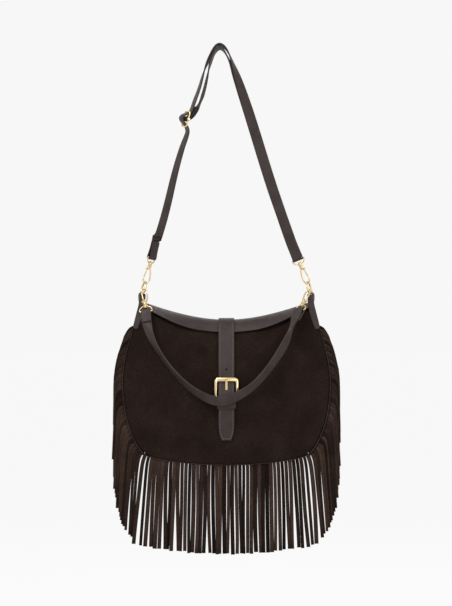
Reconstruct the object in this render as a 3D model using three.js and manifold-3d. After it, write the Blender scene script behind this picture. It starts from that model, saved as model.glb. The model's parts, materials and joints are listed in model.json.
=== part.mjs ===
// Fringed suede shoulder bag, hanging by its long strap. Millimetres, +Z up, front towards -Y.
// The origin is the underside of the strap's top bend, where a peg or a hand carries the bag.
import * as THREE from 'three';
import { mergeVertices } from 'three/addons/utils/BufferGeometryUtils.js';
import Module from 'manifold-3d';

const wasm = await Module();
wasm.setup();

// Driving dimensions: fits
const GAP = 0.3;

// Driving dimensions: bag body, measured from the middle of the mouth line
const BAG_ORIGIN = new THREE.Vector3(10.6, 0, -410);
const MOUTH_HALF_WIDTH = 138;
const MOUTH_DIP = 31;
const BODY_HALF_WIDTH = 165.4;
const WIDEST_DROP = 123;
const BODY_DROP = 254.5;
const DEPTH_CORNER = 30;
const DEPTH_BOTTOM = 76;
const BELLY = 46;
const SUEDE = 1.6;
const LINING = 0.8;
const LINING_INSET = 8;
const LINING_SLACK = 1.3;
const SEAM_INSET = 1.5;
const GUSSET_END = 3;

// Driving dimensions: flap, closing belt and buckle
const FLAP_HALF_LENGTH = 122;
const FLAP_RIDGE_RISE = 7.6;
const FLAP_LIP = 12.7;
const FLAP_BACK_LIP = 20;
const LEATHER = 2;
const BELT_WIDTH = 25;
const BELT_TIP_WIDTH = 14.6;
const BELT_END_DROP = 215;
const BELT_TAPER = 16;
const BELT_BACK_DROP = 66;
const HOLE_PITCH = 28;
const HOLE_RADIUS = 1.6;
const BUCKLE_WIDTH = 38.5;
const BUCKLE_HEIGHT = 33;
const BUCKLE_TOP_DROP = 115;
const BUCKLE_TOP_BAR = 6.4;
const BUCKLE_SIDE_BAR = 4.4;
const BUCKLE_BAR = 3;
const BUCKLE_CORNER = 7;
const PRONG_WIDTH = 4;
const CHAPE = 1.6;
const CHAPE_END_DROP = 180;
const KEEPER_TOP_DROP = 152;
const KEEPER_HEIGHT = 12;
const KEEPER = 1.7;

// Driving dimensions: rings, tabs and snap hooks
const RING_RADIUS = 11.7;
const RING_WIRE = 1.5;
const RING_LEAN = THREE.MathUtils.degToRad(17.5);
const RING_TURN = THREE.MathUtils.degToRad(15);
const RING_X = 132.5;
const RING_RISE = 26.5;
const HANDLE_SEAT_ANGLE = THREE.MathUtils.degToRad(112);
const HANDLE_SEAT_SLACK = 0.9;
const TAB_WIDTH = 23;
const TAB_NECK = 9;
const TAB_DROP = 31;
const HOOK_WIRE = 1.3;
const HOOK_HALF_WIDTH = 5;
const HOOK_LENGTH = 29.7;
const COLLAR_RADIUS = 3.2;
const COLLAR_DROP = 3.5;
const POST_RADIUS = 1.6;
const EYE_WIRE = 1.05;
const EYE_HALF_WIDTH = 11.1;
const EYE_HEIGHT = 13;
const BARREL_HEIGHT = 5;
const GATE_RADIUS = 1.1;
const GATE_PIVOT = new THREE.Vector3(2.6, 0, -5.8);
const GATE_EYE_RADIUS = 1.6;
const GATE_EYE_WIDTH = 1.6;
const CHEEK_RADIUS = 2.6;
const GATE_GAP = 1;
const NOSE_DROP = 22;
const PIN_RADIUS = 0.7;

// Driving dimensions: straps and slide
const STRAP_WIDTH = 16.8;
const STRAP = 2.4;
const HANDLE_WIDTH = 15.6;
const HANDLE = 3;
const HANDLE_FOLD = 20;
const SLIDE_CENTRE = new THREE.Vector3(-54.1, 0, -112.5);
const SLIDE_LENGTH = 27;
const SLIDE_WIDTH = 24.5;
const SLIDE_WIRE = 1.4;
const SLIDE_TILT = THREE.MathUtils.degToRad(14.6);
const SLIDE_TWIST = THREE.MathUtils.degToRad(22);

// Driving dimensions: fringe
const STRAND_LENGTH = 142;
const STRAND_WIDTH = 5.2;
const STRAND_PITCH = 6.4;
const STRAND = 1;
const HEADER = 1;
const HEADER_WIDTH = 6;
const FRINGE_TOP_DROP = 34;
const FRINGE_TURN_X = 131;
const SIDE_SPREAD = 15;
const SIDE_STACK = 37;

const X = new THREE.Vector3(1, 0, 0);
const Y = new THREE.Vector3(0, 1, 0);
const Z = new THREE.Vector3(0, 0, 1);
const vec = (x, y, z) => new THREE.Vector3(x, y, z);
const mix = THREE.MathUtils.lerp;

// Materials, one for each finish
const finish = (color, roughness, metalness) => new THREE.MeshStandardMaterial({ color, roughness, metalness });
const suede = () => finish(0x241a16, 0.95, 0);
const leather = () => finish(0x4b4442, 0.55, 0);
const fringeSuede = () => finish(0x30221c, 0.95, 0);
const cloth = () => finish(0x5d5148, 0.9, 0);
const gold = () => finish(0xdec48c, 0.28, 1);

// Closed body from indexed triangles, turned right side out
function body(points, triangles) {
  let volume = 0;
  for (let i = 0; i < triangles.length; i += 3) {
    const [a, b, c] = [points[triangles[i]], points[triangles[i + 1]], points[triangles[i + 2]]];
    volume += a.dot(b.clone().cross(c));
  }
  const geometry = new THREE.BufferGeometry();
  geometry.setAttribute('position', new THREE.Float32BufferAttribute(points.flatMap((p) => p.toArray()), 3));
  geometry.setIndex(volume < 0 ? triangles.reverse() : triangles);
  return geometry;
}

// Skin over a row of closed sections: capped at both ends, or joined end to end.
// A strip section runs out along one side and back along the other, so its caps are rows of quads.
function loft(sections, closed = false, strip = false) {
  const count = sections[0].length;
  const triangles = [];
  const rows = closed ? sections.length : sections.length - 1;
  for (let row = 0; row < rows; row += 1) {
    const next = (row + 1) % sections.length;
    for (let k = 0; k < count; k += 1) {
      const [a, b] = [row * count + k, row * count + ((k + 1) % count)];
      const [c, d] = [next * count + k, next * count + ((k + 1) % count)];
      triangles.push(a, b, d, a, d, c);
    }
  }
  const last = (sections.length - 1) * count;
  const fan = closed || strip ? 0 : count - 2;
  for (let k = 1; k <= fan; k += 1) {
    triangles.push(0, k + 1, k, last, last + k, last + k + 1);
  }
  const quads = strip ? count / 2 - 1 : 0;
  for (let k = 0; k < quads; k += 1) {
    const [a, b, c, d] = [k, k + 1, count - 2 - k, count - 1 - k];
    triangles.push(a, c, b, a, d, c, last + a, last + b, last + c, last + a, last + c, last + d);
  }
  return body(sections.flat(), triangles);
}

// Strap along stations of point p and face direction n, with its own width at each station
function ribbon(stations, width, thickness) {
  return loft(stations.map((station, i) => {
    const before = stations[Math.max(i - 1, 0)].p;
    const after = stations[Math.min(i + 1, stations.length - 1)].p;
    const run = after.clone().sub(before).normalize();
    const side = run.clone().cross(station.n).normalize();
    const face = side.clone().cross(run).normalize();
    const half = side.multiplyScalar((station.width ?? width) / 2);
    const lift = face.multiplyScalar(thickness / 2);
    const corner = (a, b) => station.p.clone().addScaledVector(half, a).addScaledVector(lift, b);
    return [corner(1, 1), corner(-1, 1), corner(-1, -1), corner(1, -1)];
  }));
}

// Round wire through points of a plane with the given normal
function wire(points, normal, radius, closed, sides = 8) {
  const count = points.length;
  return loft(points.map((p, i) => {
    const before = closed ? points[(i + count - 1) % count] : points[Math.max(i - 1, 0)];
    const after = closed ? points[(i + 1) % count] : points[Math.min(i + 1, count - 1)];
    const across = after.clone().sub(before).normalize().cross(normal).normalize();
    return Array.from({ length: sides }, (_, k) => {
      const angle = (2 * Math.PI * (k + 0.5)) / sides;
      return p.clone().addScaledVector(across, radius * Math.cos(angle)).addScaledVector(normal, radius * Math.sin(angle));
    });
  }), closed);
}

// Smooth points through a few given ones
const smooth = (points, steps, closed = false) =>
  new THREE.CatmullRomCurve3(points, closed, 'centripetal').getSpacedPoints(steps).slice(0, closed ? steps : steps + 1);

// Round bar between two points
function rod(from, to, radius, sides = 12) {
  const geometry = new THREE.CylinderGeometry(radius, radius, from.distanceTo(to), sides);
  const turn = new THREE.Quaternion().setFromUnitVectors(Y, to.clone().sub(from).normalize());
  const middle = from.clone().lerp(to, 0.5);
  return geometry.applyQuaternion(turn).translate(middle.x, middle.y, middle.z);
}

function solid(geometry) {
  const plain = geometry.clone();
  plain.deleteAttribute('normal');
  plain.deleteAttribute('uv');
  const merged = mergeVertices(plain, 1e-4);
  const vertProperties = new Float32Array(merged.attributes.position.array);
  const triVerts = new Uint32Array(merged.index.array);
  return new wasm.Manifold(new wasm.Mesh({ numProp: 3, vertProperties, triVerts }));
}

function geometryOf(manifold) {
  const mesh = manifold.getMesh();
  const geometry = new THREE.BufferGeometry();
  geometry.setAttribute('position', new THREE.BufferAttribute(new Float32Array(mesh.vertProperties), 3));
  geometry.setIndex(new THREE.BufferAttribute(new Uint32Array(mesh.triVerts), 1));
  return geometry;
}

const join = (...geometries) => geometryOf(geometries.map(solid).reduce((sum, next) => sum.add(next)));
const cut = (geometry, ...tools) =>
  geometryOf(tools.map(solid).reduce((left, tool) => left.subtract(tool), solid(geometry)));

const group = new THREE.Group();
const bag = new THREE.Group();
bag.position.copy(BAG_ORIGIN);
group.add(bag);

function place(parent, name, geometry, material) {
  const mesh = new THREE.Mesh(geometry, material);
  mesh.name = name;
  parent.add(mesh);
}

// Bag outline: half of the seam from the bottom middle up to the mouth corner, in x and z
const halfSeam = new THREE.CurvePath();
const flat = (x, z) => new THREE.Vector2(x, z);
const turnPoint = flat(130, 16.5 - BODY_DROP);
halfSeam.add(new THREE.CubicBezierCurve(
  flat(0, -BODY_DROP), flat(60, -BODY_DROP), flat(121, 9.3 - BODY_DROP), turnPoint));
halfSeam.add(new THREE.CubicBezierCurve(
  turnPoint, flat(150, 32.5 - BODY_DROP), flat(BODY_HALF_WIDTH, -WIDEST_DROP - 52), flat(BODY_HALF_WIDTH, -WIDEST_DROP)));
halfSeam.add(new THREE.CubicBezierCurve(
  flat(BODY_HALF_WIDTH, -WIDEST_DROP), flat(BODY_HALF_WIDTH, 43 - WIDEST_DROP), flat(MOUTH_HALF_WIDTH + 8, -35),
  flat(MOUTH_HALF_WIDTH, 0)));
const HALF_SEAM = halfSeam.getLength();

// Point of the seam at a distance from the bottom middle, right side positive
function seam(distance) {
  const share = Math.min(Math.abs(distance) / HALF_SEAM, 1);
  const sign = distance < 0 ? -1 : 1;
  const at = halfSeam.getPoint(share);
  const tangent = halfSeam.getPoint(Math.min(share + 1e-3, 1)).sub(halfSeam.getPoint(Math.max(share - 1e-3, 0)));
  tangent.normalize();
  const depth = mix(DEPTH_BOTTOM, DEPTH_CORNER, share * share);
  return { x: sign * at.x, z: at.y, outX: sign * tangent.y, outZ: -tangent.x, half: depth / 2 };
}

const mouthZ = (x) => MOUTH_DIP * ((x / MOUTH_HALF_WIDTH) ** 2 - 1);
const CENTRE_Z = -WIDEST_DROP;
const SEAM_STEPS = 36;
const MOUTH_STEPS = 10;
const outline = [];
for (let i = 0; i <= SEAM_STEPS; i += 1) {
  const at = seam(HALF_SEAM * ((2 * i) / SEAM_STEPS - 1));
  outline.push({ x: at.x, z: at.z, half: at.half, mouth: false });
}
for (let i = 1; i < MOUTH_STEPS; i += 1) {
  const x = MOUTH_HALF_WIDTH * (1 - (2 * i) / MOUTH_STEPS);
  outline.push({ x, z: mouthZ(x), half: DEPTH_CORNER / 2, mouth: true });
}

const domed = (half, share) => mix(BELLY, half, share * share);

// Half thickness of the bag at a point of the front view
function halfDepth(x, z) {
  const [dx, dz] = [x, z - CENTRE_Z];
  for (let i = 0; i < outline.length; i += 1) {
    const [a, b] = [outline[i], outline[(i + 1) % outline.length]];
    const [ex, ez] = [b.x - a.x, b.z - a.z];
    const [ax, az] = [a.x, a.z - CENTRE_Z];
    const cross = dx * ez - dz * ex;
    const reach = (ax * ez - az * ex) / cross;
    const along = (ax * dz - az * dx) / cross;
    if (reach > 0 && along >= 0 && along <= 1) return domed(mix(a.half, b.half, along), 1 / reach);
  }
  return BELLY;
}

const RINGS = [0.04, 0.45, 0.78, 1];
const LINING_RINGS = [0.05, 0.6, 1];

// One ring of a domed face: inset from the outline, sunk below the outer face, on the front or the back
const ringOf = (share, inset, sunk, sign, raise = 0, points = outline) => points.map(({ x, z, half, mouth }) => {
  const reach = Math.hypot(x, z - CENTRE_Z);
  const scale = share * (1 - inset / reach);
  const lift = mouth ? raise * share : 0;
  return vec(x * scale, sign * (domed(half, scale) - sunk), CENTRE_Z + (z - CENTRE_Z) * scale + lift);
});

function panel(sign) {
  const outer = RINGS.map((share) => ringOf(share, 0, 0, sign));
  const inner = RINGS.map((share) => ringOf(share, 0, SUEDE, sign)).reverse();
  return loft([...outer, ...inner]);
}
place(bag, 'front_panel', panel(-1), suede());
place(bag, 'back_panel', panel(1), suede());

// Lining: a thin bag inside the panels, open at the mouth
function liningBlock(inset, sunk, raise) {
  const points = outline.filter((_, i) => i % 2 === 0);
  const front = LINING_RINGS.map((share) => ringOf(share, inset, sunk, -1, raise, points));
  const back = LINING_RINGS.map((share) => ringOf(share, inset, sunk, 1, raise, points)).reverse();
  return loft([...front, ...back]);
}
const liningSunk = SUEDE + LINING_SLACK;
place(bag, 'lining',
  cut(liningBlock(LINING_INSET, liningSunk, 0), liningBlock(LINING_INSET + LINING, liningSunk + LINING, 14)), cloth());

// Gusset: the strip between the panels, set in from the seam, with the fringe heading ahead of its front edge
const frontSeat = SUEDE + GAP + HEADER + 2 * GAP;
const GUSSET_STEPS = 40;
place(bag, 'gusset', loft(Array.from({ length: GUSSET_STEPS + 1 }, (_, i) => {
  const at = seam((HALF_SEAM - GUSSET_END) * ((2 * i) / GUSSET_STEPS - 1));
  const corner = (inset, y) => vec(at.x - at.outX * inset, y, at.z - at.outZ * inset);
  const [front, back] = [frontSeat - at.half, at.half - SUEDE - GAP];
  const inner = SEAM_INSET + SUEDE;
  return [corner(SEAM_INSET, front), corner(SEAM_INSET, back), corner(inner, back), corner(inner, front)];
})), suede());

// Fringe: a heading strip sewn between panel and gusset, cut into strands
const headerY = (at) => SUEDE + GAP + HEADER / 2 - at.half;
const fringeEnd = (() => {
  let distance = HALF_SEAM;
  while (seam(distance).z > -FRINGE_TOP_DROP) distance -= 0.5;
  return distance;
})();
const fringeTurn = (() => {
  let distance = 0;
  while (seam(distance).x < FRINGE_TURN_X) distance += 0.5;
  return distance;
})();

function heading(from, to) {
  const steps = Math.max(4, Math.round((to - from) / 14));
  return loft(Array.from({ length: steps + 1 }, (_, i) => {
    const at = seam(mix(from, to, i / steps));
    const y = headerY(at);
    const corner = (inset, dy) => vec(at.x - at.outX * inset, y + dy, at.z - at.outZ * inset);
    return [corner(0, HEADER / 2), corner(0, -HEADER / 2), corner(HEADER_WIDTH, -HEADER / 2), corner(HEADER_WIDTH, HEADER / 2)];
  }));
}

// Seam half width above its widest point, and the widest half width below it
function hangX(rootX, rootZ, z) {
  if (rootZ < -WIDEST_DROP) return rootX;
  let best = rootX;
  for (let d = fringeEnd; d > 0 && seam(d).z > z; d -= 4) best = Math.max(best, seam(d).x);
  return best;
}

// One strand: leaves the seam square to it, turns down and hangs; high side strands lie behind lower ones
function strand(distance) {
  const at = seam(distance);
  const sign = distance < 0 ? -1 : 1;
  const sideShare = THREE.MathUtils.smoothstep(Math.abs(distance), fringeTurn * 0.8, fringeEnd);
  const spread = SIDE_SPREAD * Math.abs(at.outX) * mix(0.55, 1, sideShare);
  const rootY = headerY(at);
  const back = SIDE_STACK * sideShare;
  const drops = [-1.2, 2.5, 14, STRAND_LENGTH];
  return ribbon(drops.map((drop) => {
    if (drop < 3) {
      const p = vec(at.x + at.outX * drop, rootY, at.z + at.outZ * drop);
      return { p, n: Y };
    }
    const z = at.z - drop * mix(1, 0.93, Math.abs(at.outX)) + 2 * Math.abs(at.outX);
    const ease = 1 - Math.exp(-drop / 9);
    const x = sign * (hangX(Math.abs(at.x), at.z, z) + spread * ease);
    const face = vec(0.35 * at.outX, 1, 0);
    return { p: vec(x, rootY + back * ease, z), n: face.normalize() };
  }), STRAND_WIDTH, STRAND);
}

function sideFringe(name, from, to) {
  const count = Math.floor((to - from) / STRAND_PITCH);
  const start = (from + to - (count - 1) * STRAND_PITCH) / 2;
  const strands = Array.from({ length: count }, (_, i) => strand(start + i * STRAND_PITCH));
  place(bag, name, join(heading(from, to), ...strands), fringeSuede());
}

// Bottom run: one strip cut into straight strands, bent to the depth of the seam it is sewn to
function bottomFringe(name, reach) {
  const count = Math.floor((2 * reach) / STRAND_PITCH);
  const start = -((count - 1) * STRAND_PITCH) / 2;
  const comb = new THREE.Shape();
  const roots = Array.from({ length: count }, (_, i) => seam(start + i * STRAND_PITCH));
  const half = STRAND_WIDTH / 2;
  for (const root of roots) {
    const slope = -root.outX / root.outZ;
    const rootZ = (dx) => root.z - 0.4 + slope * dx;
    const end = root.z - STRAND_LENGTH;
    if (root === roots[0]) comb.moveTo(root.x - half, rootZ(-half));
    else comb.lineTo(root.x - half, rootZ(-half));
    comb.lineTo(root.x - half, end).lineTo(root.x + half, end).lineTo(root.x + half, rootZ(half));
  }
  for (const root of roots.slice().reverse().filter((_, i) => i % 4 === 0)) {
    comb.lineTo(root.x - root.outX * HEADER_WIDTH, root.z - root.outZ * HEADER_WIDTH);
  }
  const strip = new THREE.ExtrudeGeometry(comb, { depth: HEADER, bevelEnabled: false }).rotateX(Math.PI / 2);
  const position = strip.attributes.position;
  for (let i = 0; i < position.count; i += 1) {
    const at = roots.reduce((best, root) =>
      (Math.abs(root.x - position.getX(i)) < Math.abs(best.x - position.getX(i)) ? root : best));
    position.setY(i, position.getY(i) + HEADER / 2 + headerY(at));
  }
  place(bag, name, strip, fringeSuede());
}
sideFringe('fringe_left', -fringeEnd, -fringeTurn - GAP);
bottomFringe('fringe_bottom', fringeTurn);
sideFringe('fringe_right', fringeTurn + GAP, fringeEnd);

// Top flap: a leather band sewn to the back, folded forward over the mouth
const flapShare = (x) => (x / FLAP_HALF_LENGTH) ** 2;
const ridgeZ = (x) => mouthZ(x) + FLAP_RIDGE_RISE + 4 * flapShare(x);
const lipZ = (x) => mouthZ(x) - FLAP_LIP * (1 - 0.7 * flapShare(x) ** 2);
const FLAP_STEPS = 14;
const FLAP_POINTS = 12;

// Middle line of the flap across the mouth at one x, from the back hem to the front lip
function flapLine(x) {
  const [mouth, ridge, lip] = [mouthZ(x), ridgeZ(x) - LEATHER / 2, lipZ(x)];
  const clear = 2 * (GAP + LEATHER / 2);
  const over = (z, sign) => vec(x, sign * (halfDepth(x, z) + clear), z);
  const crown = (sign) => vec(x, sign * DEPTH_CORNER * 0.36, ridge - 1.6);
  const hem = mouth - FLAP_BACK_LIP * (1 - 0.6 * flapShare(x) ** 2);
  const curve = new THREE.CatmullRomCurve3([
    over(hem, 1), over(mix(mouth, hem, 0.55), 1), over(mix(mouth, hem, 0.1), 1), crown(1), vec(x, 0, ridge), crown(-1),
    over(mix(mouth, lip, 0.15), -1), over(mix(mouth, lip, 0.55), -1), over(lip, -1)]);
  return curve.getPoints(FLAP_POINTS);
}

// Points beside a line in a plane square to X
function beside(line, offset) {
  return line.map((p, i) => {
    const run = line[Math.min(i + 1, line.length - 1)].clone().sub(line[Math.max(i - 1, 0)]).normalize();
    return p.clone().addScaledVector(run.cross(X).normalize(), offset);
  });
}
const flapSections = Array.from({ length: FLAP_STEPS + 1 }, (_, i) => {
  const line = flapLine(FLAP_HALF_LENGTH * ((2 * i) / FLAP_STEPS - 1));
  return [...beside(line, LEATHER / 2), ...beside(line, -LEATHER / 2).reverse()];
});
place(bag, 'top_flap', loft(flapSections, false, true), leather());

// Closing belt, buckle, chape and keeper: heights above the front panel at the middle
const onPanel = (z, lift) => vec(0, -halfDepth(0, z) - lift, z);
const alongX = (points) => points.map((p, i) => {
  const run = points[Math.min(i + 1, points.length - 1)].clone().sub(points[Math.max(i - 1, 0)]);
  return { p, n: run.cross(X).normalize() };
});
const beltLift = GAP + LEATHER / 2;
const frameLift = GAP + LEATHER + GAP + BUCKLE_BAR / 2;
const heelZ = BUCKLE_BAR / 2 - BUCKLE_TOP_DROP - BUCKLE_HEIGHT;
const buckleMidZ = -BUCKLE_TOP_DROP - BUCKLE_HEIGHT / 2;
const frameY = onPanel(buckleMidZ, frameLift).y;
const chapeBack = GAP + CHAPE / 2;
const chapeTurn = frameLift - chapeBack;
const keeperBack = GAP + CHAPE + GAP + KEEPER / 2;
const chapeFront = keeperBack + KEEPER / 2 + GAP + CHAPE / 2;
const beltOverChape = chapeFront + CHAPE / 2 + GAP + LEATHER / 2;
const keeperFront = beltOverChape + LEATHER / 2 + 4 * GAP + KEEPER / 2;
const heelLift = frameLift + chapeTurn + CHAPE / 2 + GAP + LEATHER / 2;
const keeperEndZ = -KEEPER_TOP_DROP - KEEPER_HEIGHT;
const topBarEndZ = -BUCKLE_TOP_DROP - BUCKLE_TOP_BAR;

const beltOverFlap = beside(flapLine(0), LEATHER / 2 + 2 * GAP + LEATHER / 2);
const beltRoute = new THREE.CatmullRomCurve3([
  vec(0, halfDepth(0, -BELT_BACK_DROP) + beltLift + GAP, -BELT_BACK_DROP),
  ...beltOverFlap,
  onPanel(-57, beltLift + LEATHER), onPanel(-70, beltLift + 3 * GAP), onPanel(-92, beltLift + GAP),
  onPanel(-BUCKLE_TOP_DROP, beltLift), onPanel(topBarEndZ, beltLift + GAP / 2),
  onPanel(mix(topBarEndZ, heelZ, 0.34), mix(beltLift, heelLift, 0.36)),
  onPanel(mix(topBarEndZ, heelZ, 0.72), mix(beltLift, heelLift, 0.9)),
  onPanel(heelZ, heelLift + GAP), onPanel(-KEEPER_TOP_DROP, beltOverChape + 2 * GAP),
  onPanel(keeperEndZ, beltOverChape), onPanel(-CHAPE_END_DROP, beltLift + 2 * CHAPE + 3 * GAP),
  onPanel(-CHAPE_END_DROP - 14, beltLift + 2 * GAP), onPanel(-BELT_END_DROP, beltLift)]);
const beltStations = alongX(beltRoute.getPoints(52)).map((station) => {
  const taper = THREE.MathUtils.clamp((station.p.z + BELT_END_DROP) / BELT_TAPER, 0, 1);
  const front = station.p.y < 0 ? taper : 1;
  return { ...station, width: mix(BELT_TIP_WIDTH, BELT_WIDTH, Math.sqrt(front)) };
});

// Prong: an eye round the heel bar and a tapering tongue that lies on the top bar
const prongHalf = 1.1;
const tipLift = BUCKLE_BAR / 2 + GAP + prongHalf;
const prongHeel = vec(0, frameY - prongHalf, heelZ + 1.5);
const prongTip = vec(0, frameY - tipLift, -BUCKLE_TOP_DROP - 1);
const tongue = (grow) => ribbon([
  { p: prongHeel, n: Y, width: PRONG_WIDTH + 2 * grow },
  { p: prongHeel.clone().lerp(prongTip, 0.7), n: Y, width: PRONG_WIDTH + 2 * grow },
  { p: prongTip.clone().addScaledVector(Z, grow), n: Y, width: PRONG_WIDTH * 0.7 + 2 * grow }], PRONG_WIDTH,
2 * prongHalf + 2 * grow);
const heelRod = (halfLength, radius) => rod(vec(-halfLength, frameY, heelZ), vec(halfLength, frameY, heelZ), radius, 16);
const barClear = BUCKLE_BAR / 2 + GAP;
const prongEye = barClear + 1.1;
place(bag, 'buckle_prong',
  cut(join(tongue(0), heelRod(PRONG_WIDTH / 2, prongEye)), heelRod(PRONG_WIDTH, barClear + 0.15)), gold());

const beltHole = (z) => rod(vec(0, 0, z), vec(0, -2 * BELLY, z), HOLE_RADIUS, 12);
const firstHoleZ = mix(topBarEndZ, heelZ, 0.36) + HOLE_PITCH;
place(bag, 'closing_belt',
  cut(ribbon(beltStations, BELT_WIDTH, LEATHER), beltHole(firstHoleZ), tongue(GAP + 0.1)), leather());

// Buckle frame: a cast rounded frame with a heavy top bar and a slim heel bar
function roundedRect(left, bottom, right, top, radius) {
  const shape = new THREE.Shape();
  shape.moveTo(left + radius, bottom);
  shape.lineTo(right - radius, bottom).absarc(right - radius, bottom + radius, radius, -Math.PI / 2, 0);
  shape.lineTo(right, top - radius).absarc(right - radius, top - radius, radius, 0, Math.PI / 2);
  shape.lineTo(left + radius, top).absarc(left + radius, top - radius, radius, Math.PI / 2, Math.PI);
  shape.lineTo(left, bottom + radius).absarc(left + radius, bottom + radius, radius, Math.PI, 1.5 * Math.PI);
  return shape;
}
const BEVEL = 0.8;
const halfBuckle = BUCKLE_WIDTH / 2;
const buckleShape = roundedRect(
  BEVEL - halfBuckle, BEVEL, halfBuckle - BEVEL, BUCKLE_HEIGHT - BEVEL, BUCKLE_CORNER - BEVEL);
const windowHalf = halfBuckle - BUCKLE_SIDE_BAR + BEVEL;
buckleShape.holes.push(roundedRect(
  -windowHalf, BUCKLE_BAR - BEVEL, windowHalf, BUCKLE_HEIGHT - BUCKLE_TOP_BAR + BEVEL, BUCKLE_CORNER - BUCKLE_SIDE_BAR + BEVEL));
const bevelled = { bevelEnabled: true, bevelThickness: BEVEL, bevelSize: BEVEL, bevelSegments: 1, curveSegments: 4 };
const buckle = new THREE.ExtrudeGeometry(buckleShape, { depth: BUCKLE_BAR - 2 * BEVEL, ...bevelled })
  .translate(0, 0, BEVEL - BUCKLE_BAR / 2).rotateX(Math.PI / 2)
  .translate(0, frameY, -BUCKLE_TOP_DROP - BUCKLE_HEIGHT);
place(bag, 'buckle_frame', buckle, gold());

// Chape: sewn to the panel, up round the heel bar and down again, slotted for the prong
const chapeArc = Array.from({ length: 9 }, (_, i) => {
  const angle = (Math.PI * i) / 8;
  return vec(0, frameY + chapeTurn * Math.cos(angle), heelZ + chapeTurn * Math.sin(angle));
});
const chapeRoute = [
  onPanel(-CHAPE_END_DROP, chapeBack), onPanel(-166, chapeBack), onPanel(heelZ - 4, chapeBack), ...chapeArc,
  onPanel(-KEEPER_TOP_DROP, chapeFront + GAP), onPanel(keeperEndZ, chapeFront),
  onPanel(keeperEndZ - 7, chapeBack + CHAPE + 2 * GAP), onPanel(-CHAPE_END_DROP, chapeBack + CHAPE + GAP)];
const slotHalf = PRONG_WIDTH / 2 + 2 * GAP;
const prongSlot = new THREE.BoxGeometry(2 * slotHalf, 4 * chapeTurn, 2 * prongEye + 2)
  .translate(0, frameY, heelZ + 1);
place(bag, 'buckle_chape', cut(ribbon(alongX(chapeRoute), BELT_WIDTH - 2, CHAPE), prongSlot), leather());

// Keeper: a band round the belt and the front of the chape
const keeperMidZ = -KEEPER_TOP_DROP - KEEPER_HEIGHT / 2;
const keeperInner = BELT_WIDTH / 2 + 2 * GAP;
const keeperY = (lift) => onPanel(keeperMidZ, lift).y;
const keeperShape = roundedRect(
  -keeperInner - KEEPER, keeperY(keeperFront + KEEPER / 2), keeperInner + KEEPER, keeperY(keeperBack - KEEPER / 2), 1.6);
keeperShape.holes.push(roundedRect(
  -keeperInner, keeperY(keeperFront - KEEPER / 2), keeperInner, keeperY(keeperBack + KEEPER / 2), 0.5));
place(bag, 'belt_keeper',
  new THREE.ExtrudeGeometry(keeperShape, { depth: KEEPER_HEIGHT, bevelEnabled: false, curveSegments: 3 })
    .translate(0, 0, keeperEndZ), leather());

// Rings: one at each mouth corner, leaning in and turned a little towards the front
function ringFrame(sign) {
  const centre = vec(sign * RING_X, 0, RING_RISE);
  const up = vec(-sign * Math.sin(RING_LEAN), 0, Math.cos(RING_LEAN));
  const inward = vec(-sign * Math.cos(RING_LEAN), 0, -Math.sin(RING_LEAN));
  const front = vec(0, -Math.cos(RING_TURN), 0).addScaledVector(inward, Math.sin(RING_TURN));
  const at = (angle) => centre.clone().addScaledVector(up, RING_RADIUS * Math.cos(angle))
    .addScaledVector(front, RING_RADIUS * Math.sin(angle));
  const along = (angle) => front.clone().multiplyScalar(Math.cos(angle)).addScaledVector(up, -Math.sin(angle));
  return { centre, up, front, inward, at, along };
}

function ring(name, frame) {
  const basis = new THREE.Matrix4().makeBasis(frame.front, frame.up, frame.front.clone().cross(frame.up));
  const geometry = new THREE.TorusGeometry(RING_RADIUS, RING_WIRE, 8, 24).applyMatrix4(basis.setPosition(frame.centre));
  place(bag, name, geometry, gold());
}

// Corner tab: a leather strip up the outside of the gusset, through the ring and down inside
function cornerTab(name, sign, frame) {
  const outside = SEAM_INSET - GAP - LEATHER / 2;
  const inside = SEAM_INSET + SUEDE + GAP + LEATHER / 2;
  const onSeam = (drop, inset, face) => {
    const at = seam(sign * (HALF_SEAM - drop));
    const n = vec(at.outX * face, 0, at.outZ * face);
    return { p: vec(at.x - at.outX * inset, 0, at.z - at.outZ * inset), n, width: TAB_WIDTH };
  };
  const sag = TAB_NECK ** 2 / (8 * RING_RADIUS);
  const turn = RING_WIRE + sag + GAP + LEATHER / 2;
  const seat = frame.at(Math.PI);
  const outward = frame.up.clone().cross(frame.front).multiplyScalar(-sign).normalize();
  const side = outward.dot(X) * sign > 0 ? outward : outward.negate();
  const bend = Array.from({ length: 9 }, (_, i) => {
    const angle = (Math.PI * i) / 8;
    const n = side.clone().multiplyScalar(Math.cos(angle)).addScaledVector(frame.up, Math.sin(angle));
    return { p: seat.clone().addScaledVector(n, turn), n, width: TAB_NECK };
  });
  const neck = (edge, inset) => {
    const foot = onSeam(0, inset, 1);
    return { p: edge.p.clone().lerp(foot.p, 0.6), n: edge.n, width: mix(TAB_NECK, TAB_WIDTH, 0.6) };
  };
  const stations = [
    onSeam(TAB_DROP, outside, 1), onSeam(TAB_DROP * 0.66, outside, 1), onSeam(TAB_DROP * 0.33, outside, 1),
    onSeam(0.5, outside, 1), neck(bend[0], outside), ...bend, neck(bend[8], inside), onSeam(1, inside, -1),
    onSeam(TAB_DROP * 0.4, inside, -1), onSeam(TAB_DROP * 0.7, inside, -1)];
  place(bag, name, ribbon(stations, TAB_WIDTH, LEATHER), leather());
}

const rings = { left: ringFrame(-1), right: ringFrame(1) };
ring('left_ring', rings.left);
ring('right_ring', rings.right);
cornerTab('left_corner_tab', -1, rings.left);
cornerTab('right_corner_tab', 1, rings.right);

// Swivel snap hook in its own frame: swivel post along Z, eye above, hook below, gate on the +X side
const hookReach = HOOK_LENGTH - HOOK_WIRE - GAP - RING_WIRE;

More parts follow.
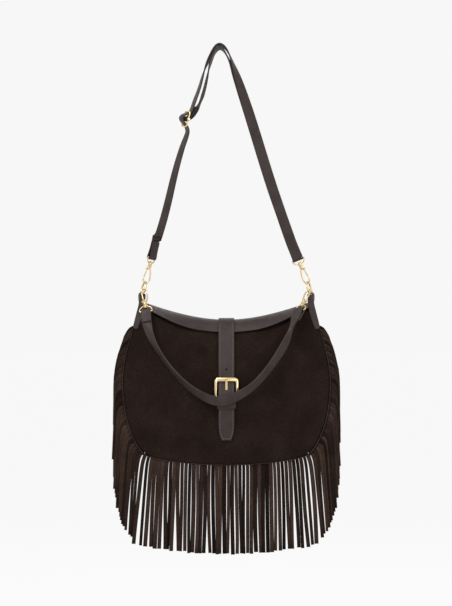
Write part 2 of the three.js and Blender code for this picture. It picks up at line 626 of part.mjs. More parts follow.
function hookEye() {
  const half = EYE_HALF_WIDTH - EYE_WIRE;
  const side = [vec(half - 1.5, 0, EYE_HEIGHT), vec(half, 0, EYE_HEIGHT - 1.5), vec(half - 0.6, 0, EYE_HEIGHT - 5),
    vec(half - 4.5, 0, 4)];
  const mirrored = side.map((p) => vec(-p.x, 0, p.z)).reverse();
  const loop = smooth([vec(0, 0, EYE_HEIGHT), ...side, vec(0, 0, BARREL_HEIGHT / 2), ...mirrored], 20, true);
  const barrel = rod(vec(0, 0, 0), vec(0, 0, BARREL_HEIGHT), COLLAR_RADIUS, 12);
  const bore = rod(vec(0, 0, -1), vec(0, 0, BARREL_HEIGHT + 1), POST_RADIUS + GAP, 12);
  return cut(join(wire(loop, Y, EYE_WIRE, true), barrel), bore);
}

function hookBody() {
  const [w, end] = [HOOK_HALF_WIDTH, -HOOK_LENGTH];
  const route = smooth([vec(0, 0, -COLLAR_DROP + 1), vec(-1.9, 0, -COLLAR_DROP - 2), vec(-0.72 * w, 0, -10), vec(-w, 0, -17),
    vec(-w, 0, end + 5.7), vec(-0.66 * w, 0, end + 1.5), vec(0, 0, end), vec(0.66 * w, 0, end + 1.5), vec(w, 0, end + 5.7),
    vec(w, 0, -NOSE_DROP)], 18);
  const collar = rod(vec(0, 0, -COLLAR_DROP), vec(0, 0, -GAP), COLLAR_RADIUS, 12);
  const post = rod(vec(0, 0, -1), vec(0, 0, BARREL_HEIGHT + 1), POST_RADIUS, 12);
  const head = rod(vec(0, 0, BARREL_HEIGHT + GAP), vec(0, 0, BARREL_HEIGHT + 1.8), POST_RADIUS + 1.2, 12);
  const cheek = rod(GATE_PIVOT.clone().setY(-2.4), GATE_PIVOT.clone().setY(2.4), CHEEK_RADIUS, 12);
  const slotSize = 2 * (CHEEK_RADIUS + GAP);
  const slot = new THREE.BoxGeometry(slotSize, GATE_EYE_WIDTH + 2 * GAP, slotSize)
    .translate(GATE_PIVOT.x + CHEEK_RADIUS - 1.8, 0, GATE_PIVOT.z + GATE_EYE_RADIUS + GAP - slotSize / 2);
  const bore = rod(GATE_PIVOT.clone().setY(-3), GATE_PIVOT.clone().setY(3), PIN_RADIUS + GAP, 10);
  const lugs = cut(cheek, slot);
  return cut(join(wire(route, Y, HOOK_WIRE, false), collar, post, head, lugs), bore);
}

function hookGate() {
  const tip = vec(HOOK_HALF_WIDTH, 0, GATE_GAP - NOSE_DROP);
  const halfEye = GATE_EYE_WIDTH / 2;
  const eye = rod(GATE_PIVOT.clone().setY(-halfEye), GATE_PIVOT.clone().setY(halfEye), GATE_EYE_RADIUS, 12);
  const bore = rod(GATE_PIVOT.clone().setY(-2), GATE_PIVOT.clone().setY(2), PIN_RADIUS + GAP, 10);
  const bar = rod(GATE_PIVOT.clone().lerp(tip, 0.26), tip, GATE_RADIUS, 8);
  const neck = rod(GATE_PIVOT.clone().lerp(tip, 0.05), GATE_PIVOT.clone().lerp(tip, 0.3), 0.75, 8);
  return cut(join(eye, neck, bar), bore);
}

const gatePin = () => rod(GATE_PIVOT.clone().setY(-2.6), GATE_PIVOT.clone().setY(2.6), PIN_RADIUS, 10);

// Frame of a hook seated on a ring point: Z away from the ring, Y along the ring wire
function hookFrame(seat, axis, wireRun, slack = 0) {
  const z = axis.clone().normalize();
  const y = wireRun.clone().addScaledVector(z, -wireRun.dot(z)).normalize();
  const x = y.clone().cross(z);
  const origin = seat.clone().addScaledVector(z, hookReach - slack);
  return { x, y, z, origin, bar: origin.clone().addScaledVector(z, EYE_HEIGHT) };
}

function snapHook(parent, name, frame, eyeTurn) {
  const hook = new THREE.Group();
  hook.applyMatrix4(new THREE.Matrix4().makeBasis(frame.x, frame.y, frame.z).setPosition(frame.origin));
  parent.add(hook);
  const eye = new THREE.Group();
  eye.rotation.z = eyeTurn;
  hook.add(eye);
  place(eye, `${name}_eye`, hookEye(), gold());
  place(hook, `${name}_hook`, hookBody(), gold());
  place(hook, `${name}_gate`, hookGate(), gold());
  place(hook, `${name}_gate_pin`, gatePin(), gold());
}

// Direction of the strap's eye bar, square to the hook's axis
const barAlong = (frame, turn) =>
  frame.x.clone().multiplyScalar(Math.cos(turn)).addScaledVector(frame.y, Math.sin(turn));

const degrees = THREE.MathUtils.degToRad;
const STRAP_TILT = { left: degrees(14), right: degrees(-22.3) };
const STRAP_EYE_TURN = { left: degrees(40), right: 0 };
const HANDLE_RUN = { left: vec(0.08, -0.55, -0.83), right: vec(-0.379, -0.52, -0.765) };
const HANDLE_EYE_TURN = { left: degrees(35), right: degrees(0) };

const strapHooks = {};
const handleHooks = {};
for (const [side, sign] of [['left', -1], ['right', 1]]) {
  const frame = rings[side];
  const tilt = STRAP_TILT[side];
  const out = vec(sign, 0, 0);
  const strapSeat = frame.at(0).add(BAG_ORIGIN);
  strapHooks[side] = hookFrame(strapSeat, vec(Math.sin(tilt), 0, Math.cos(tilt)), frame.along(0).multiplyScalar(-sign));
  snapHook(group, `strap_${side}`, strapHooks[side], STRAP_EYE_TURN[side]);
  const handleSeat = frame.at(HANDLE_SEAT_ANGLE);
  const run = frame.along(HANDLE_SEAT_ANGLE);
  const towards = hookFrame(handleSeat, HANDLE_RUN[side], run).x.dot(out) > 0 ? run : run.negate();
  handleHooks[side] = hookFrame(handleSeat, HANDLE_RUN[side], towards, HANDLE_SEAT_SLACK);
  snapHook(bag, `handle_${side}`, handleHooks[side], HANDLE_EYE_TURN[side]);
}

// Stations of a strap end: a sewn tab in front, round the eye bar, and the strap behind it
function strapEnd(bar, run, across, thickness, tabLength, front) {
  const face = run.clone().cross(across).normalize();
  if (face.dot(front) < 0) face.negate();
  const turn = EYE_WIRE + 2 * GAP + thickness / 2;
  const layer = (thickness + GAP) / 2 + GAP / 2;
  const at = (reach, lift, sign) => ({
    p: bar.clone().addScaledVector(run, reach).addScaledVector(face, sign * lift), n: face.clone().multiplyScalar(sign) });
  const bend = Array.from({ length: 9 }, (_, i) => {
    const angle = (Math.PI * i) / 8;
    const n = face.clone().multiplyScalar(Math.cos(angle)).addScaledVector(run, -Math.sin(angle));
    return { p: bar.clone().addScaledVector(n, turn), n };
  });
  return {
    face, tab: [at(tabLength, layer, 1), at(tabLength * 0.6, layer, 1), at(5, turn * 0.8, 1)], bend,
    away: [at(5, turn * 0.8, -1), at(tabLength * 0.6, layer, -1), at(tabLength, layer, -1)] };
}

// Closer stations along a smooth curve through the given ones
function refine(stations, steps) {
  const curve = new THREE.CatmullRomCurve3(stations.map((station) => station.p), false, 'centripetal');
  const spans = stations.length - 1;
  return Array.from({ length: spans * steps + 1 }, (_, i) => {
    const span = Math.min(Math.floor(i / steps), spans - 1);
    const share = i / steps - span;
    const n = stations[span].n.clone().lerp(stations[span + 1].n, share).normalize();
    return { p: curve.getPoint(i / (spans * steps)), n };
  });
}

// Short handle: hangs in front of the bag from the two lower hooks; x, y, z and how far its face turns to the front
const HANDLE_ROUTE = [
  [-119, -47, -53, 35], [-95.7, -53, -91, 45], [-63.8, -57.5, -126.6, 65], [-27, -59.4, -149.8, 84],
  [-3, -59.6, -152.5, 90], [19.2, -59.6, -143.5, 86], [42.6, -58.5, -128.3, 76], [70.2, -56, -97.3, 66],
  [96, -49, -56, 60]];
const handleEnds = {};
for (const side of ['left', 'right']) {
  const frame = handleHooks[side];
  const front = vec(side === 'left' ? -1 : 1, -0.6, -0.4);
  handleEnds[side] = strapEnd(frame.bar, frame.z, barAlong(frame, HANDLE_EYE_TURN[side]), HANDLE, HANDLE_FOLD, front);
}
const handleMiddle = HANDLE_ROUTE.map(([x, y, z, turn], i) => {
  const [a, b] = [HANDLE_ROUTE[Math.max(i - 1, 0)], HANDLE_ROUTE[Math.min(i + 1, HANDLE_ROUTE.length - 1)]];
  const run = vec(b[0] - a[0], 0, b[2] - a[2]).normalize();
  const below = vec(run.z, 0, -run.x);
  const n = below.multiplyScalar(Math.cos(degrees(turn))).addScaledVector(Y, -Math.sin(degrees(turn)));
  return { p: vec(x, y, z), n: n.negate() };
});
const reverseEnd = (end) => [...end.tab, ...end.bend, ...end.away].reverse();
const flip = (stations) => stations.map(({ p, n }) => ({ p, n: n.clone().negate() }));
const handleStations = [
  ...handleEnds.left.tab, ...handleEnds.left.bend, ...handleEnds.left.away, ...handleMiddle,
  ...reverseEnd(handleEnds.right)];
place(bag, 'handle_strap', ribbon(refine(handleStations, 2), HANDLE_WIDTH, HANDLE), leather());

// Strap slide: a rounded wire frame with a bar across its middle, its long side along the strap
const slideUp = vec(Math.sin(SLIDE_TILT), 0, Math.cos(SLIDE_TILT));
const slideFace = vec(-slideUp.z, 0, slideUp.x).multiplyScalar(Math.cos(SLIDE_TWIST)).addScaledVector(Y, -Math.sin(SLIDE_TWIST));
const slideAcross = slideUp.clone().cross(slideFace).normalize();
const onSlide = (up, face, across = 0) => SLIDE_CENTRE.clone().addScaledVector(slideUp, up)
  .addScaledVector(slideFace, face).addScaledVector(slideAcross, across);
const [slideHalf, slideSide] = [SLIDE_LENGTH / 2 - SLIDE_WIRE, SLIDE_WIDTH / 2 - SLIDE_WIRE];
const slideCorners = [[1, 1], [-1, 1], [-1, -1], [1, -1]].flatMap(([a, b]) => {
  const near = [[a * slideHalf, b * (slideSide - 3)], [a * (slideHalf - 0.9), b * (slideSide - 0.9)], [a * (slideHalf - 3), b * slideSide]];
  return a * b > 0 ? near : near.reverse();
});
const slideLoop = slideCorners.map(([up, across]) => onSlide(up, 0, across));
const SLIDE_BAR = 1.2;
const boss = (sign) => rod(onSlide(0, 0, sign * (slideSide - 2)), onSlide(0, 0, sign * (slideSide + 2)), SLIDE_BAR + GAP + 1.2, 12);
const slideBar = rod(onSlide(0, 0, -slideSide - 3.4), onSlide(0, 0, slideSide + 3.4), SLIDE_BAR, 12);
const slideBore = rod(onSlide(0, 0, -slideSide - 4), onSlide(0, 0, slideSide + 4), SLIDE_BAR + GAP, 12);
const knob = (sign) => rod(
  onSlide(0, 0, sign * (slideSide + 2 + GAP)), onSlide(0, 0, sign * (slideSide + 3.6)), SLIDE_BAR + 1, 12);
place(group, 'slide_frame', cut(join(wire(slideLoop, slideFace, SLIDE_WIRE, true), boss(1), boss(-1)), slideBore), gold());
place(group, 'slide_bar', join(slideBar, knob(1), knob(-1)), gold());

// Long strap: one strip from the left hook through the slide, over the top, round the right hook's eye and back
// to the slide's bar. Each route point is x, z and how far the outer face turns to the front.
const faced = (route) => route.map(([x, z, turn], i) => {
  const [a, b] = [route[Math.max(i - 1, 0)], route[Math.min(i + 1, route.length - 1)]];
  const run = vec(b[0] - a[0], 0, b[1] - a[1]).normalize();
  const n = vec(-run.z, 0, run.x).multiplyScalar(Math.cos(degrees(turn))).addScaledVector(Y, -Math.sin(degrees(turn)));
  return { p: vec(x, 0, z), n };
});
const STRAP_RISE = [[-97, -297, 46], [-81.9, -242.1, 42], [-72.3, -200.5, 36], [-59.5, -155.7, 28], [-51.8, -135, 22]];
const STRAP_WEAVE = [[-13.5, -5.4], [-8.6, -0.4], [-5.2, 5.6], [0, 8.6], [5.2, 5.8], [8.6, 0.2], [12.5, -4.6]];
const STRAP_OUTER = [[-41.4, -86.4, 18], [-32.2, -61.9, 14], [-26.1, -38.9, 8], [-20, -22.7, 4], [-13, -7, 2], [-6.6, 3.2, 0],
  [0, 6.4, 0], [7.6, 2.6, 4], [14.5, -7.5, 12]];
const STRAP_FALL = [[20.6, -27, 26], [35.4, -69.3, 50], [50.1, -114.1, 65], [79.5, -210.1, 84], [99, -267, 90]];
const STRAP_INNER = [[10.4, -9.5, 12], [5, -1.6, 4], [0, STRAP / 2, 0], [-5.6, -2.4, 0], [-10.4, -10, 2], [-15, -23, 4],
  [-18.4, -37, 6], [-23, -58.9, 12], [-29.1, -80.3, 16]];
const STRAP_RETURN = [[23, -14.4], [15.9, -12.6], [9.7, -10.6], [4, -7.4]];
const STRAP_BAR_TAB = [[4.8, -3.7], [9.7, -6.2], [16, -8.4], [23, -10.2]];

const leftEnd = strapEnd(strapHooks.left.bar, strapHooks.left.z, barAlong(strapHooks.left, STRAP_EYE_TURN.left), STRAP, 26,
  vec(-0.6, -1, 0));
const rightEnd = strapEnd(strapHooks.right.bar, strapHooks.right.z, barAlong(strapHooks.right, STRAP_EYE_TURN.right), STRAP, 26,
  vec(0.6, -1, 0));
const layerShift = (stations, shift) => stations.map(({ p, n }) => ({ p: p.clone().addScaledVector(n, shift), n }));
const slideTurns = (points) => points.map(([up, face], i) => {
  const [a, b] = [points[Math.max(i - 1, 0)], points[Math.min(i + 1, points.length - 1)]];
  const run = slideUp.clone().multiplyScalar(b[0] - a[0]).addScaledVector(slideFace, b[1] - a[1]).normalize();
  return { p: onSlide(up, face), n: slideAcross.clone().cross(run).normalize() };
});
const barTurn = SLIDE_BAR + 2 * GAP + STRAP / 2;
const barLoop = Array.from({ length: 9 }, (_, i) => {
  const angle = degrees(20 + i * 34);
  return [-barTurn * Math.sin(angle), -barTurn * Math.cos(angle)];
});
const layerGap = (STRAP + 2 * GAP) / 2;
const fall = faced([...STRAP_OUTER.slice(-1), ...STRAP_FALL]).slice(1);
const strapStations = [
  ...leftEnd.tab, ...leftEnd.bend, ...leftEnd.away, ...flip(faced(STRAP_RISE)), ...flip(slideTurns(STRAP_WEAVE)),
  ...flip(faced(STRAP_OUTER)), ...flip(layerShift(fall, layerGap)), ...flip([...rightEnd.tab]), ...flip(rightEnd.bend),
  ...flip(rightEnd.away), ...layerShift(fall, -layerGap).reverse(), ...faced(STRAP_INNER.slice().reverse()).reverse(),
  ...slideTurns([...STRAP_RETURN, ...barLoop, ...STRAP_BAR_TAB])];
place(group, 'long_strap', ribbon(refine(strapStations, 2), STRAP_WIDTH, STRAP), leather());

export default group;
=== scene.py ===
# %% [markdown]
# # Fringed suede shoulder bag
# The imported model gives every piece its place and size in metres. Leather, suede and metal pieces
# start as copies of those solids and are softened here. The fringe, the stitches, the corner
# bindings and the cut edge of the panel are thin or many, so they are modelled new as meshes.

# %% Load the frame
import json
import math
import random

import bpy
import numpy as np
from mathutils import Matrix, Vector


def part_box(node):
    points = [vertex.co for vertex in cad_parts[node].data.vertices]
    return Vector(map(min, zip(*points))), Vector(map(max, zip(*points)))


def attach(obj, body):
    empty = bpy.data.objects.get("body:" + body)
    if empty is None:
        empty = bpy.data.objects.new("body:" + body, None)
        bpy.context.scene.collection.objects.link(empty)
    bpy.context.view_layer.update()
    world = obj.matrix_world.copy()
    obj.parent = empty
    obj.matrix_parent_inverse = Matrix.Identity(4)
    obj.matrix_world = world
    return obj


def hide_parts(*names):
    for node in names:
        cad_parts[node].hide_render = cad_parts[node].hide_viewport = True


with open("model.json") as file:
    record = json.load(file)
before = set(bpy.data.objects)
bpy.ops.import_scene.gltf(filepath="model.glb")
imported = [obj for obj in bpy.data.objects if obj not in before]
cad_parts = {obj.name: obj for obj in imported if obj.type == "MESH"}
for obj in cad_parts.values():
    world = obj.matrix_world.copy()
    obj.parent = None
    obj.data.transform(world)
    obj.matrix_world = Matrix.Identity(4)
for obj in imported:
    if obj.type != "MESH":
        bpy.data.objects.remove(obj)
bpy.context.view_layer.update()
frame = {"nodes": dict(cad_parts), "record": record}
MM = 0.001
RECORD = frame["record"]
BODIES = RECORD["behaviour"]["bodies"]
BODY_OF = {node: body for body, nodes in BODIES.items() for node in nodes}
SLOT_OF = {part["node"]: part["material_slot"] for part in RECORD["subparts"]}
rng = random.Random(7)
pieces = {}

# %% [markdown]
# ## Camera
# A product photo is taken from far back with a long lens, so near and far parts keep nearly the
# same size. An orthographic camera would lose the last bit of perspective. So the camera stands
# level with the middle of the picture, and its lens is worked out from the distance: one pixel
# covers the same 1.6 mm as in the photo.

# %% Camera
PHOTO_ROWS, METRES_PER_PIXEL = 606, 0.0016
CAMERA_X, CAMERA_Z, CAMERA_DISTANCE = 0.0099, -0.407, 5.0
SENSOR, VIEW_DEPTH = 36.0, 100
bpy.ops.object.select_all(action="DESELECT")
bpy.ops.object.camera_add(location=(CAMERA_X, -CAMERA_DISTANCE, CAMERA_Z),
                          rotation=(math.pi / 2, 0, 0))
camera = bpy.context.object
camera.data.sensor_width = SENSOR
camera.data.lens = SENSOR * CAMERA_DISTANCE / (PHOTO_ROWS * METRES_PER_PIXEL)
camera.data.clip_end = VIEW_DEPTH
scene = bpy.context.scene
scene.camera = camera
scene.view_settings.view_transform = "Standard"
print("camera lens", round(camera.data.lens, 1))

# %% [markdown]
# ## Background
# The photo has a near-white ground. A world that bright would flood dark suede with light, so it has
# two strengths: near white where the camera or a shiny surface sees it, and dimmer as a lamp. The
# Light Path node tells those rays apart, which needs no second scene and no compositing.

# %% Background
WORLD_LIGHT = 0.45
PAPER = (0.93, 0.93, 0.93, 1)
WHITE = (1, 1, 1, 1)
OTHER_SEEN_RAYS = ("Is Glossy Ray", "Is Transmission Ray")


def seen_or_mirrored(tree):
    """One for a ray from the camera, from a mirror-like surface or through a clear one."""
    path = tree.nodes.new("ShaderNodeLightPath")
    total = path.outputs["Is Camera Ray"]
    for ray in OTHER_SEEN_RAYS:
        add = tree.nodes.new("ShaderNodeMath")
        add.operation = "ADD"
        add.use_clamp = True
        tree.links.new(total, add.inputs[0])
        tree.links.new(path.outputs[ray], add.inputs[1])
        total = add.outputs[0]
    return total


def blend(tree, share, first, second):
    """The output of a node that mixes two shaders."""
    node = tree.nodes.new("ShaderNodeMixShader")
    for socket, source in zip(node.inputs, (share, first, second)):
        tree.links.new(source, socket)
    return node.outputs[0]


world = bpy.data.worlds.new("studio")
scene.world = world
world.use_nodes = True
sky = world.node_tree
dim = sky.nodes["Background"]
dim.inputs["Color"].default_value = WHITE
dim.inputs["Strength"].default_value = WORLD_LIGHT
paper = sky.nodes.new("ShaderNodeBackground")
paper.inputs["Color"].default_value = PAPER
ground = blend(sky, seen_or_mirrored(sky), dim.outputs[0], paper.outputs[0])
sky.links.new(ground, sky.nodes["World Output"].inputs["Surface"])
print("background", PAPER[0], "as a light", WORLD_LIGHT)

# %% [markdown]
# ## Lamps
# The light in the photo is soft and comes from the upper left, with little shadow. Large area lamps
# act like softboxes: a key, a weak fill from the right, and a rim from behind that parts the dark
# straps from the ground.

# %% Lamps
LAMPS = {  # place in metres, size in metres, power in watts
    "key": ((-1.0, -1.9, 1.6), 1.3, 46),
    "fill": ((1.9, -2.0, 0.1), 1.8, 16),
    "rim": ((0.4, 1.8, 1.0), 1.4, 7),
}
AIM = Vector((0.01, 0, -0.45))
for name, (place, size, power) in LAMPS.items():
    turn = (AIM - Vector(place)).to_track_quat("-Z", "Y").to_euler()
    bpy.ops.object.light_add(type="AREA", location=place, rotation=turn)
    lamp = bpy.context.object
    lamp.name = name
    lamp.data.size = size
    lamp.data.energy = power
print("lamps", list(LAMPS))

# %% [markdown]
# ## Floor
# A pale disc lies below the fringe. To the camera it is mostly a glow, a little brighter than the
# ground, so that its far edge doesn't show. A small share is matte and takes a faint shadow.

# %% Floor
FLOOR_Z, FLOOR_RADIUS, FLOOR_SIDES = -0.97, 30, 64
FLOOR_COLOUR, FLOOR_ROUGHNESS = (0.8, 0.8, 0.8, 1), 0.9
GLOW_SHARE, FLOOR_GLOW = 0.88, 1.005
bpy.ops.mesh.primitive_circle_add(vertices=FLOOR_SIDES, radius=FLOOR_RADIUS, fill_type="NGON",
                                  location=(0, 0, FLOOR_Z))
floor = bpy.context.object
floor.name = "floor"
pale = bpy.data.materials.new("pale_floor")
pale.use_nodes = True
tree = pale.node_tree
matte = tree.nodes["Principled BSDF"]
matte.inputs["Base Color"].default_value = FLOOR_COLOUR
matte.inputs["Roughness"].default_value = FLOOR_ROUGHNESS
glow = tree.nodes.new("ShaderNodeEmission")
glow.inputs["Strength"].default_value = FLOOR_GLOW
glow_part = tree.nodes.new("ShaderNodeMath")
glow_part.operation = "MULTIPLY"
glow_part.inputs[1].default_value = GLOW_SHARE
tree.links.new(seen_or_mirrored(tree), glow_part.inputs[0])
shade = blend(tree, glow_part.outputs[0], matte.outputs[0], glow.outputs[0])
tree.links.new(shade, tree.nodes["Material Output"].inputs["Surface"])
floor.data.materials.append(pale)
print("floor at", FLOOR_Z)

# %% [markdown]
# ## How a finish is made
# Every real surface here varies at two sizes: broad patches of dye or plating, and a fine nap, grain
# or weave. Painted textures would need unwrapped meshes, so each finish is a small node tree of
# noise on Object coordinates instead, which fits any mesh. The helpers below make its parts.


# %% Material helpers
def finish(name, roughness, specular=0.5, metallic=0.0):
    """A new material with its node tree and its Principled shader."""
    material = bpy.data.materials.new(name)
    material.use_nodes = True
    nodes = material.node_tree
    shader = nodes.nodes["Principled BSDF"]
    shader.inputs["Roughness"].default_value = roughness
    shader.inputs["Specular IOR Level"].default_value = specular
    shader.inputs["Metallic"].default_value = metallic
    return material, nodes, shader


def noise(nodes, cells, detail, stretch=(1, 1, 1)):
    """Noise on Object coordinates, in cells to the metre."""
    coords = nodes.nodes.new("ShaderNodeTexCoord")
    mapping = nodes.nodes.new("ShaderNodeMapping")
    mapping.inputs["Scale"].default_value = stretch
    field = nodes.nodes.new("ShaderNodeTexNoise")
    field.inputs["Scale"].default_value = cells
    field.inputs["Detail"].default_value = detail
    nodes.links.new(coords.outputs["Object"], mapping.inputs["Vector"])
    nodes.links.new(mapping.outputs["Vector"], field.inputs["Vector"])
    return field.outputs["Fac"]


def ramp(nodes, value, low, high, start=0.3, end=0.7):
    """Colours from low to high as a value goes from start to end."""
    node = nodes.nodes.new("ShaderNodeValToRGB")
    node.color_ramp.elements[0].position = start
    node.color_ramp.elements[1].position = end
    node.color_ramp.elements[0].color = (*low, 1)
    node.color_ramp.elements[1].color = (*high, 1)
    nodes.links.new(value, node.inputs["Fac"])
    return node.outputs["Color"]


def mottle(nodes, cells, detail, low, high, stretch=(1, 1, 1)):
    """Patches between two colours."""
    return ramp(nodes, noise(nodes, cells, detail, stretch), low, high)


def multiply(nodes, first, second):
    """The product of two colours."""
    node = nodes.nodes.new("ShaderNodeMix")
    node.data_type = "RGBA"
    node.blend_type = "MULTIPLY"
    colour_in = [socket for socket in node.inputs if socket.type == "RGBA"]
    node.inputs[0].default_value = 1
    nodes.links.new(first, colour_in[0])
    nodes.links.new(second, colour_in[1])
    return next(socket for socket in node.outputs if socket.type == "RGBA")


def raise_by(nodes, shader, height, strength, depth):
    """A bump of the surface, its depth in millimetres."""
    node = nodes.nodes.new("ShaderNodeBump")
    node.inputs["Strength"].default_value = strength
    node.inputs["Distance"].default_value = depth * MM
    nodes.links.new(height, node.inputs["Height"])
    nodes.links.new(node.outputs["Normal"], shader.inputs["Normal"])


def grey(level):
    return (level, level, level)


# %% [markdown]
# ## Suede
# Suede is the brushed inner side of a hide: dark, without gloss, with a short nap that catches light
# at its edges. Real hair strands would be heavy for a nap under a millimetre. So the finish has almost
# no specular, a little sheen, patches of dye, two sizes of nap in the colour and a fine bump. On the
# fringe, a value stored on each strand makes one strand lighter than the next. A low value on the
# heading strip darkens it as painted shade, for the shadowed gap between fringe and gusset.

# %% Suede
SUEDE_ROUGHNESS, SUEDE_SPECULAR = 0.95, 0.06
SHEEN = {"Sheen Weight": 0.05, "Sheen Roughness": 0.45, "Sheen Tint": (0.45, 0.33, 0.28, 1)}
SUEDE_DYE = {"cells": 28, "detail": 5}
SUEDE_NAP = {"cells": 1500, "detail": 3, "low": grey(0.7), "high": grey(1.25)}
SUEDE_TUFTS = {"cells": 380, "detail": 3, "low": grey(0.8), "high": grey(1.28)}
SUEDE_PILE = {"cells": 1100, "detail": 4}
SUEDE_BUMP = {"strength": 0.45, "depth": 0.5}
TONE_LOW, TONE_HIGH = grey(0.45), grey(2.4)


def suede_finish(name, dark, light, tone_and_shade=None):
    """Suede between two colours, with the name of a mesh value that sets each strand's tone and paints
    shade on the heading.
    """
    material, nodes, shader = finish(name, SUEDE_ROUGHNESS, SUEDE_SPECULAR)
    for socket, value in SHEEN.items():
        shader.inputs[socket].default_value = value
    colour = mottle(nodes, low=dark, high=light, **SUEDE_DYE)
    for layer in (SUEDE_NAP, SUEDE_TUFTS):
        colour = multiply(nodes, colour, mottle(nodes, **layer))
    if tone_and_shade:
        # The mesh value multiplies the colour: a random tone on each strand, and painted shade where
        # it is low on the heading strip.
        strip = nodes.nodes.new("ShaderNodeAttribute")
        strip.attribute_name = tone_and_shade
        shades = ramp(nodes, strip.outputs["Fac"], TONE_LOW, TONE_HIGH, 0, 1)
        colour = multiply(nodes, colour, shades)
    nodes.links.new(colour, shader.inputs["Base Color"])
    raise_by(nodes, shader, noise(nodes, **SUEDE_PILE), **SUEDE_BUMP)
    return material


suede = suede_finish("dark_suede", (0.0135, 0.0078, 0.006), (0.022, 0.0134, 0.0105))
fringe_suede = suede_finish("fringe_suede", (0.016, 0.0092, 0.007), (0.026, 0.016, 0.0122), "tone_and_shade")
cut_edge = suede_finish("cut_suede_edge", (0.034, 0.023, 0.018), (0.048, 0.034, 0.028))
print("finishes", suede.name, fringe_suede.name, cut_edge.name)

# %% [markdown]
# ## Leather and thread
# The straps, the belt and the flap are smooth leather with a fine grain and a dull gloss. Their edges
# are a little lighter, where they rub. The Geometry node's Pointiness finds those edges without a
# painted mask, and a Voronoi pattern stands in for the pores. The thread is a finer, lighter brown.

# %% Leather and thread
LEATHER_ROUGHNESS, LEATHER_SPECULAR = 0.5, 0.22
LEATHER_DYE = {"cells": 45, "detail": 4, "low": (0.031, 0.0213, 0.0188),
               "high": (0.05, 0.0365, 0.033)}
LEATHER_GLOSS = {"cells": 160, "detail": 3, "low": grey(0.42), "high": grey(0.58)}
WORN_EDGE, WORN_FROM, WORN_TO = (1.45, 1.38, 1.32), 0.53, 0.62
GRAIN_CELLS = 620
GRAIN_BUMP = {"strength": 0.5, "depth": 0.4}
leather, nodes, shader = finish("smooth_leather", LEATHER_ROUGHNESS, LEATHER_SPECULAR)
geometry = nodes.nodes.new("ShaderNodeNewGeometry")
worn = ramp(nodes, geometry.outputs["Pointiness"], grey(1.0), WORN_EDGE, WORN_FROM, WORN_TO)
dye = multiply(nodes, mottle(nodes, **LEATHER_DYE), worn)
nodes.links.new(dye, shader.inputs["Base Color"])
nodes.links.new(mottle(nodes, **LEATHER_GLOSS), shader.inputs["Roughness"])
coords = nodes.nodes.new("ShaderNodeTexCoord")
grain = nodes.nodes.new("ShaderNodeTexVoronoi")
grain.inputs["Scale"].default_value = GRAIN_CELLS
nodes.links.new(coords.outputs["Object"], grain.inputs["Vector"])
raise_by(nodes, shader, grain.outputs["Distance"], **GRAIN_BUMP)

THREAD_ROUGHNESS, THREAD_SPECULAR = 0.7, 0.3
THREAD_TWIST = {"cells": 2500, "detail": 2, "low": (0.1, 0.08, 0.072), "high": (0.2, 0.165, 0.15)}
THREAD_FIBRE = {"cells": 3000, "detail": 2}
THREAD_BUMP = {"strength": 0.4, "depth": 0.2}
thread, nodes, shader = finish("dark_thread", THREAD_ROUGHNESS, THREAD_SPECULAR)
nodes.links.new(mottle(nodes, **THREAD_TWIST), shader.inputs["Base Color"])
raise_by(nodes, shader, noise(nodes, **THREAD_FIBRE), **THREAD_BUMP)
print("finishes", leather.name, thread.name)

# %% [markdown]
# ## Gold and lining
# The fittings are plated in pale gold: a metal whose colour sits in its reflections, with a gloss
# that varies as handled metal does. The lining is a plain brown cloth. Two stretched noises, one
# along each thread direction, multiply into a weave, so no cloth picture is needed.

# %% Gold and lining
GOLD_ROUGHNESS, GOLD_SPECULAR, METAL = 0.24, 0.5, 1.0
GOLD_PLATE = {"cells": 60, "detail": 3, "low": (0.66, 0.5, 0.26), "high": (0.76, 0.6, 0.34)}
GOLD_GLOSS = {"cells": 700, "detail": 4, "low": grey(0.17), "high": grey(0.32)}
gold, nodes, shader = finish("pale_gold", GOLD_ROUGHNESS, GOLD_SPECULAR, METAL)
nodes.links.new(mottle(nodes, **GOLD_PLATE), shader.inputs["Base Color"])
nodes.links.new(mottle(nodes, **GOLD_GLOSS), shader.inputs["Roughness"])

LINING_ROUGHNESS, LINING_SPECULAR = 0.85, 0.2
LINING_DYE = {"cells": 35, "detail": 4, "low": (0.08, 0.06, 0.047), "high": (0.13, 0.1, 0.08)}
WEAVE = {"cells": 900, "detail": 1, "low": grey(0), "high": grey(1)}
UPRIGHT_THREADS, LEVEL_THREADS = (1, 1, 0.1), (0.1, 1, 1)
WEAVE_BUMP = {"strength": 0.5, "depth": 0.3}
lining_cloth, nodes, shader = finish("lining_cloth", LINING_ROUGHNESS, LINING_SPECULAR)
nodes.links.new(mottle(nodes, **LINING_DYE), shader.inputs["Base Color"])
weave = multiply(nodes, mottle(nodes, **WEAVE, stretch=UPRIGHT_THREADS),
                 mottle(nodes, **WEAVE, stretch=LEVEL_THREADS))
raise_by(nodes, shader, weave, **WEAVE_BUMP)
print("finishes", gold.name, lining_cloth.name)

# %% [markdown]
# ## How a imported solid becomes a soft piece
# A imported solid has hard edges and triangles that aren't joined. Its copy is merged and turned into
# quads first, so that a bevel or a subdivision has clean edges to work on. Modifiers are applied at
# once, because the later steps measure the finished mesh.

# %% Helpers that shape a copied piece
MERGE_DISTANCE = 1e-6
QUAD_FACE_ANGLE, QUAD_SHAPE_ANGLE = 0.7, 1.4
EDGE_ANGLE = math.radians(50)


def only(piece):
    """Make a piece the active object and the only one selected."""
    bpy.ops.object.select_all(action="DESELECT")
    piece.select_set(True)
    bpy.context.view_layer.objects.active = piece


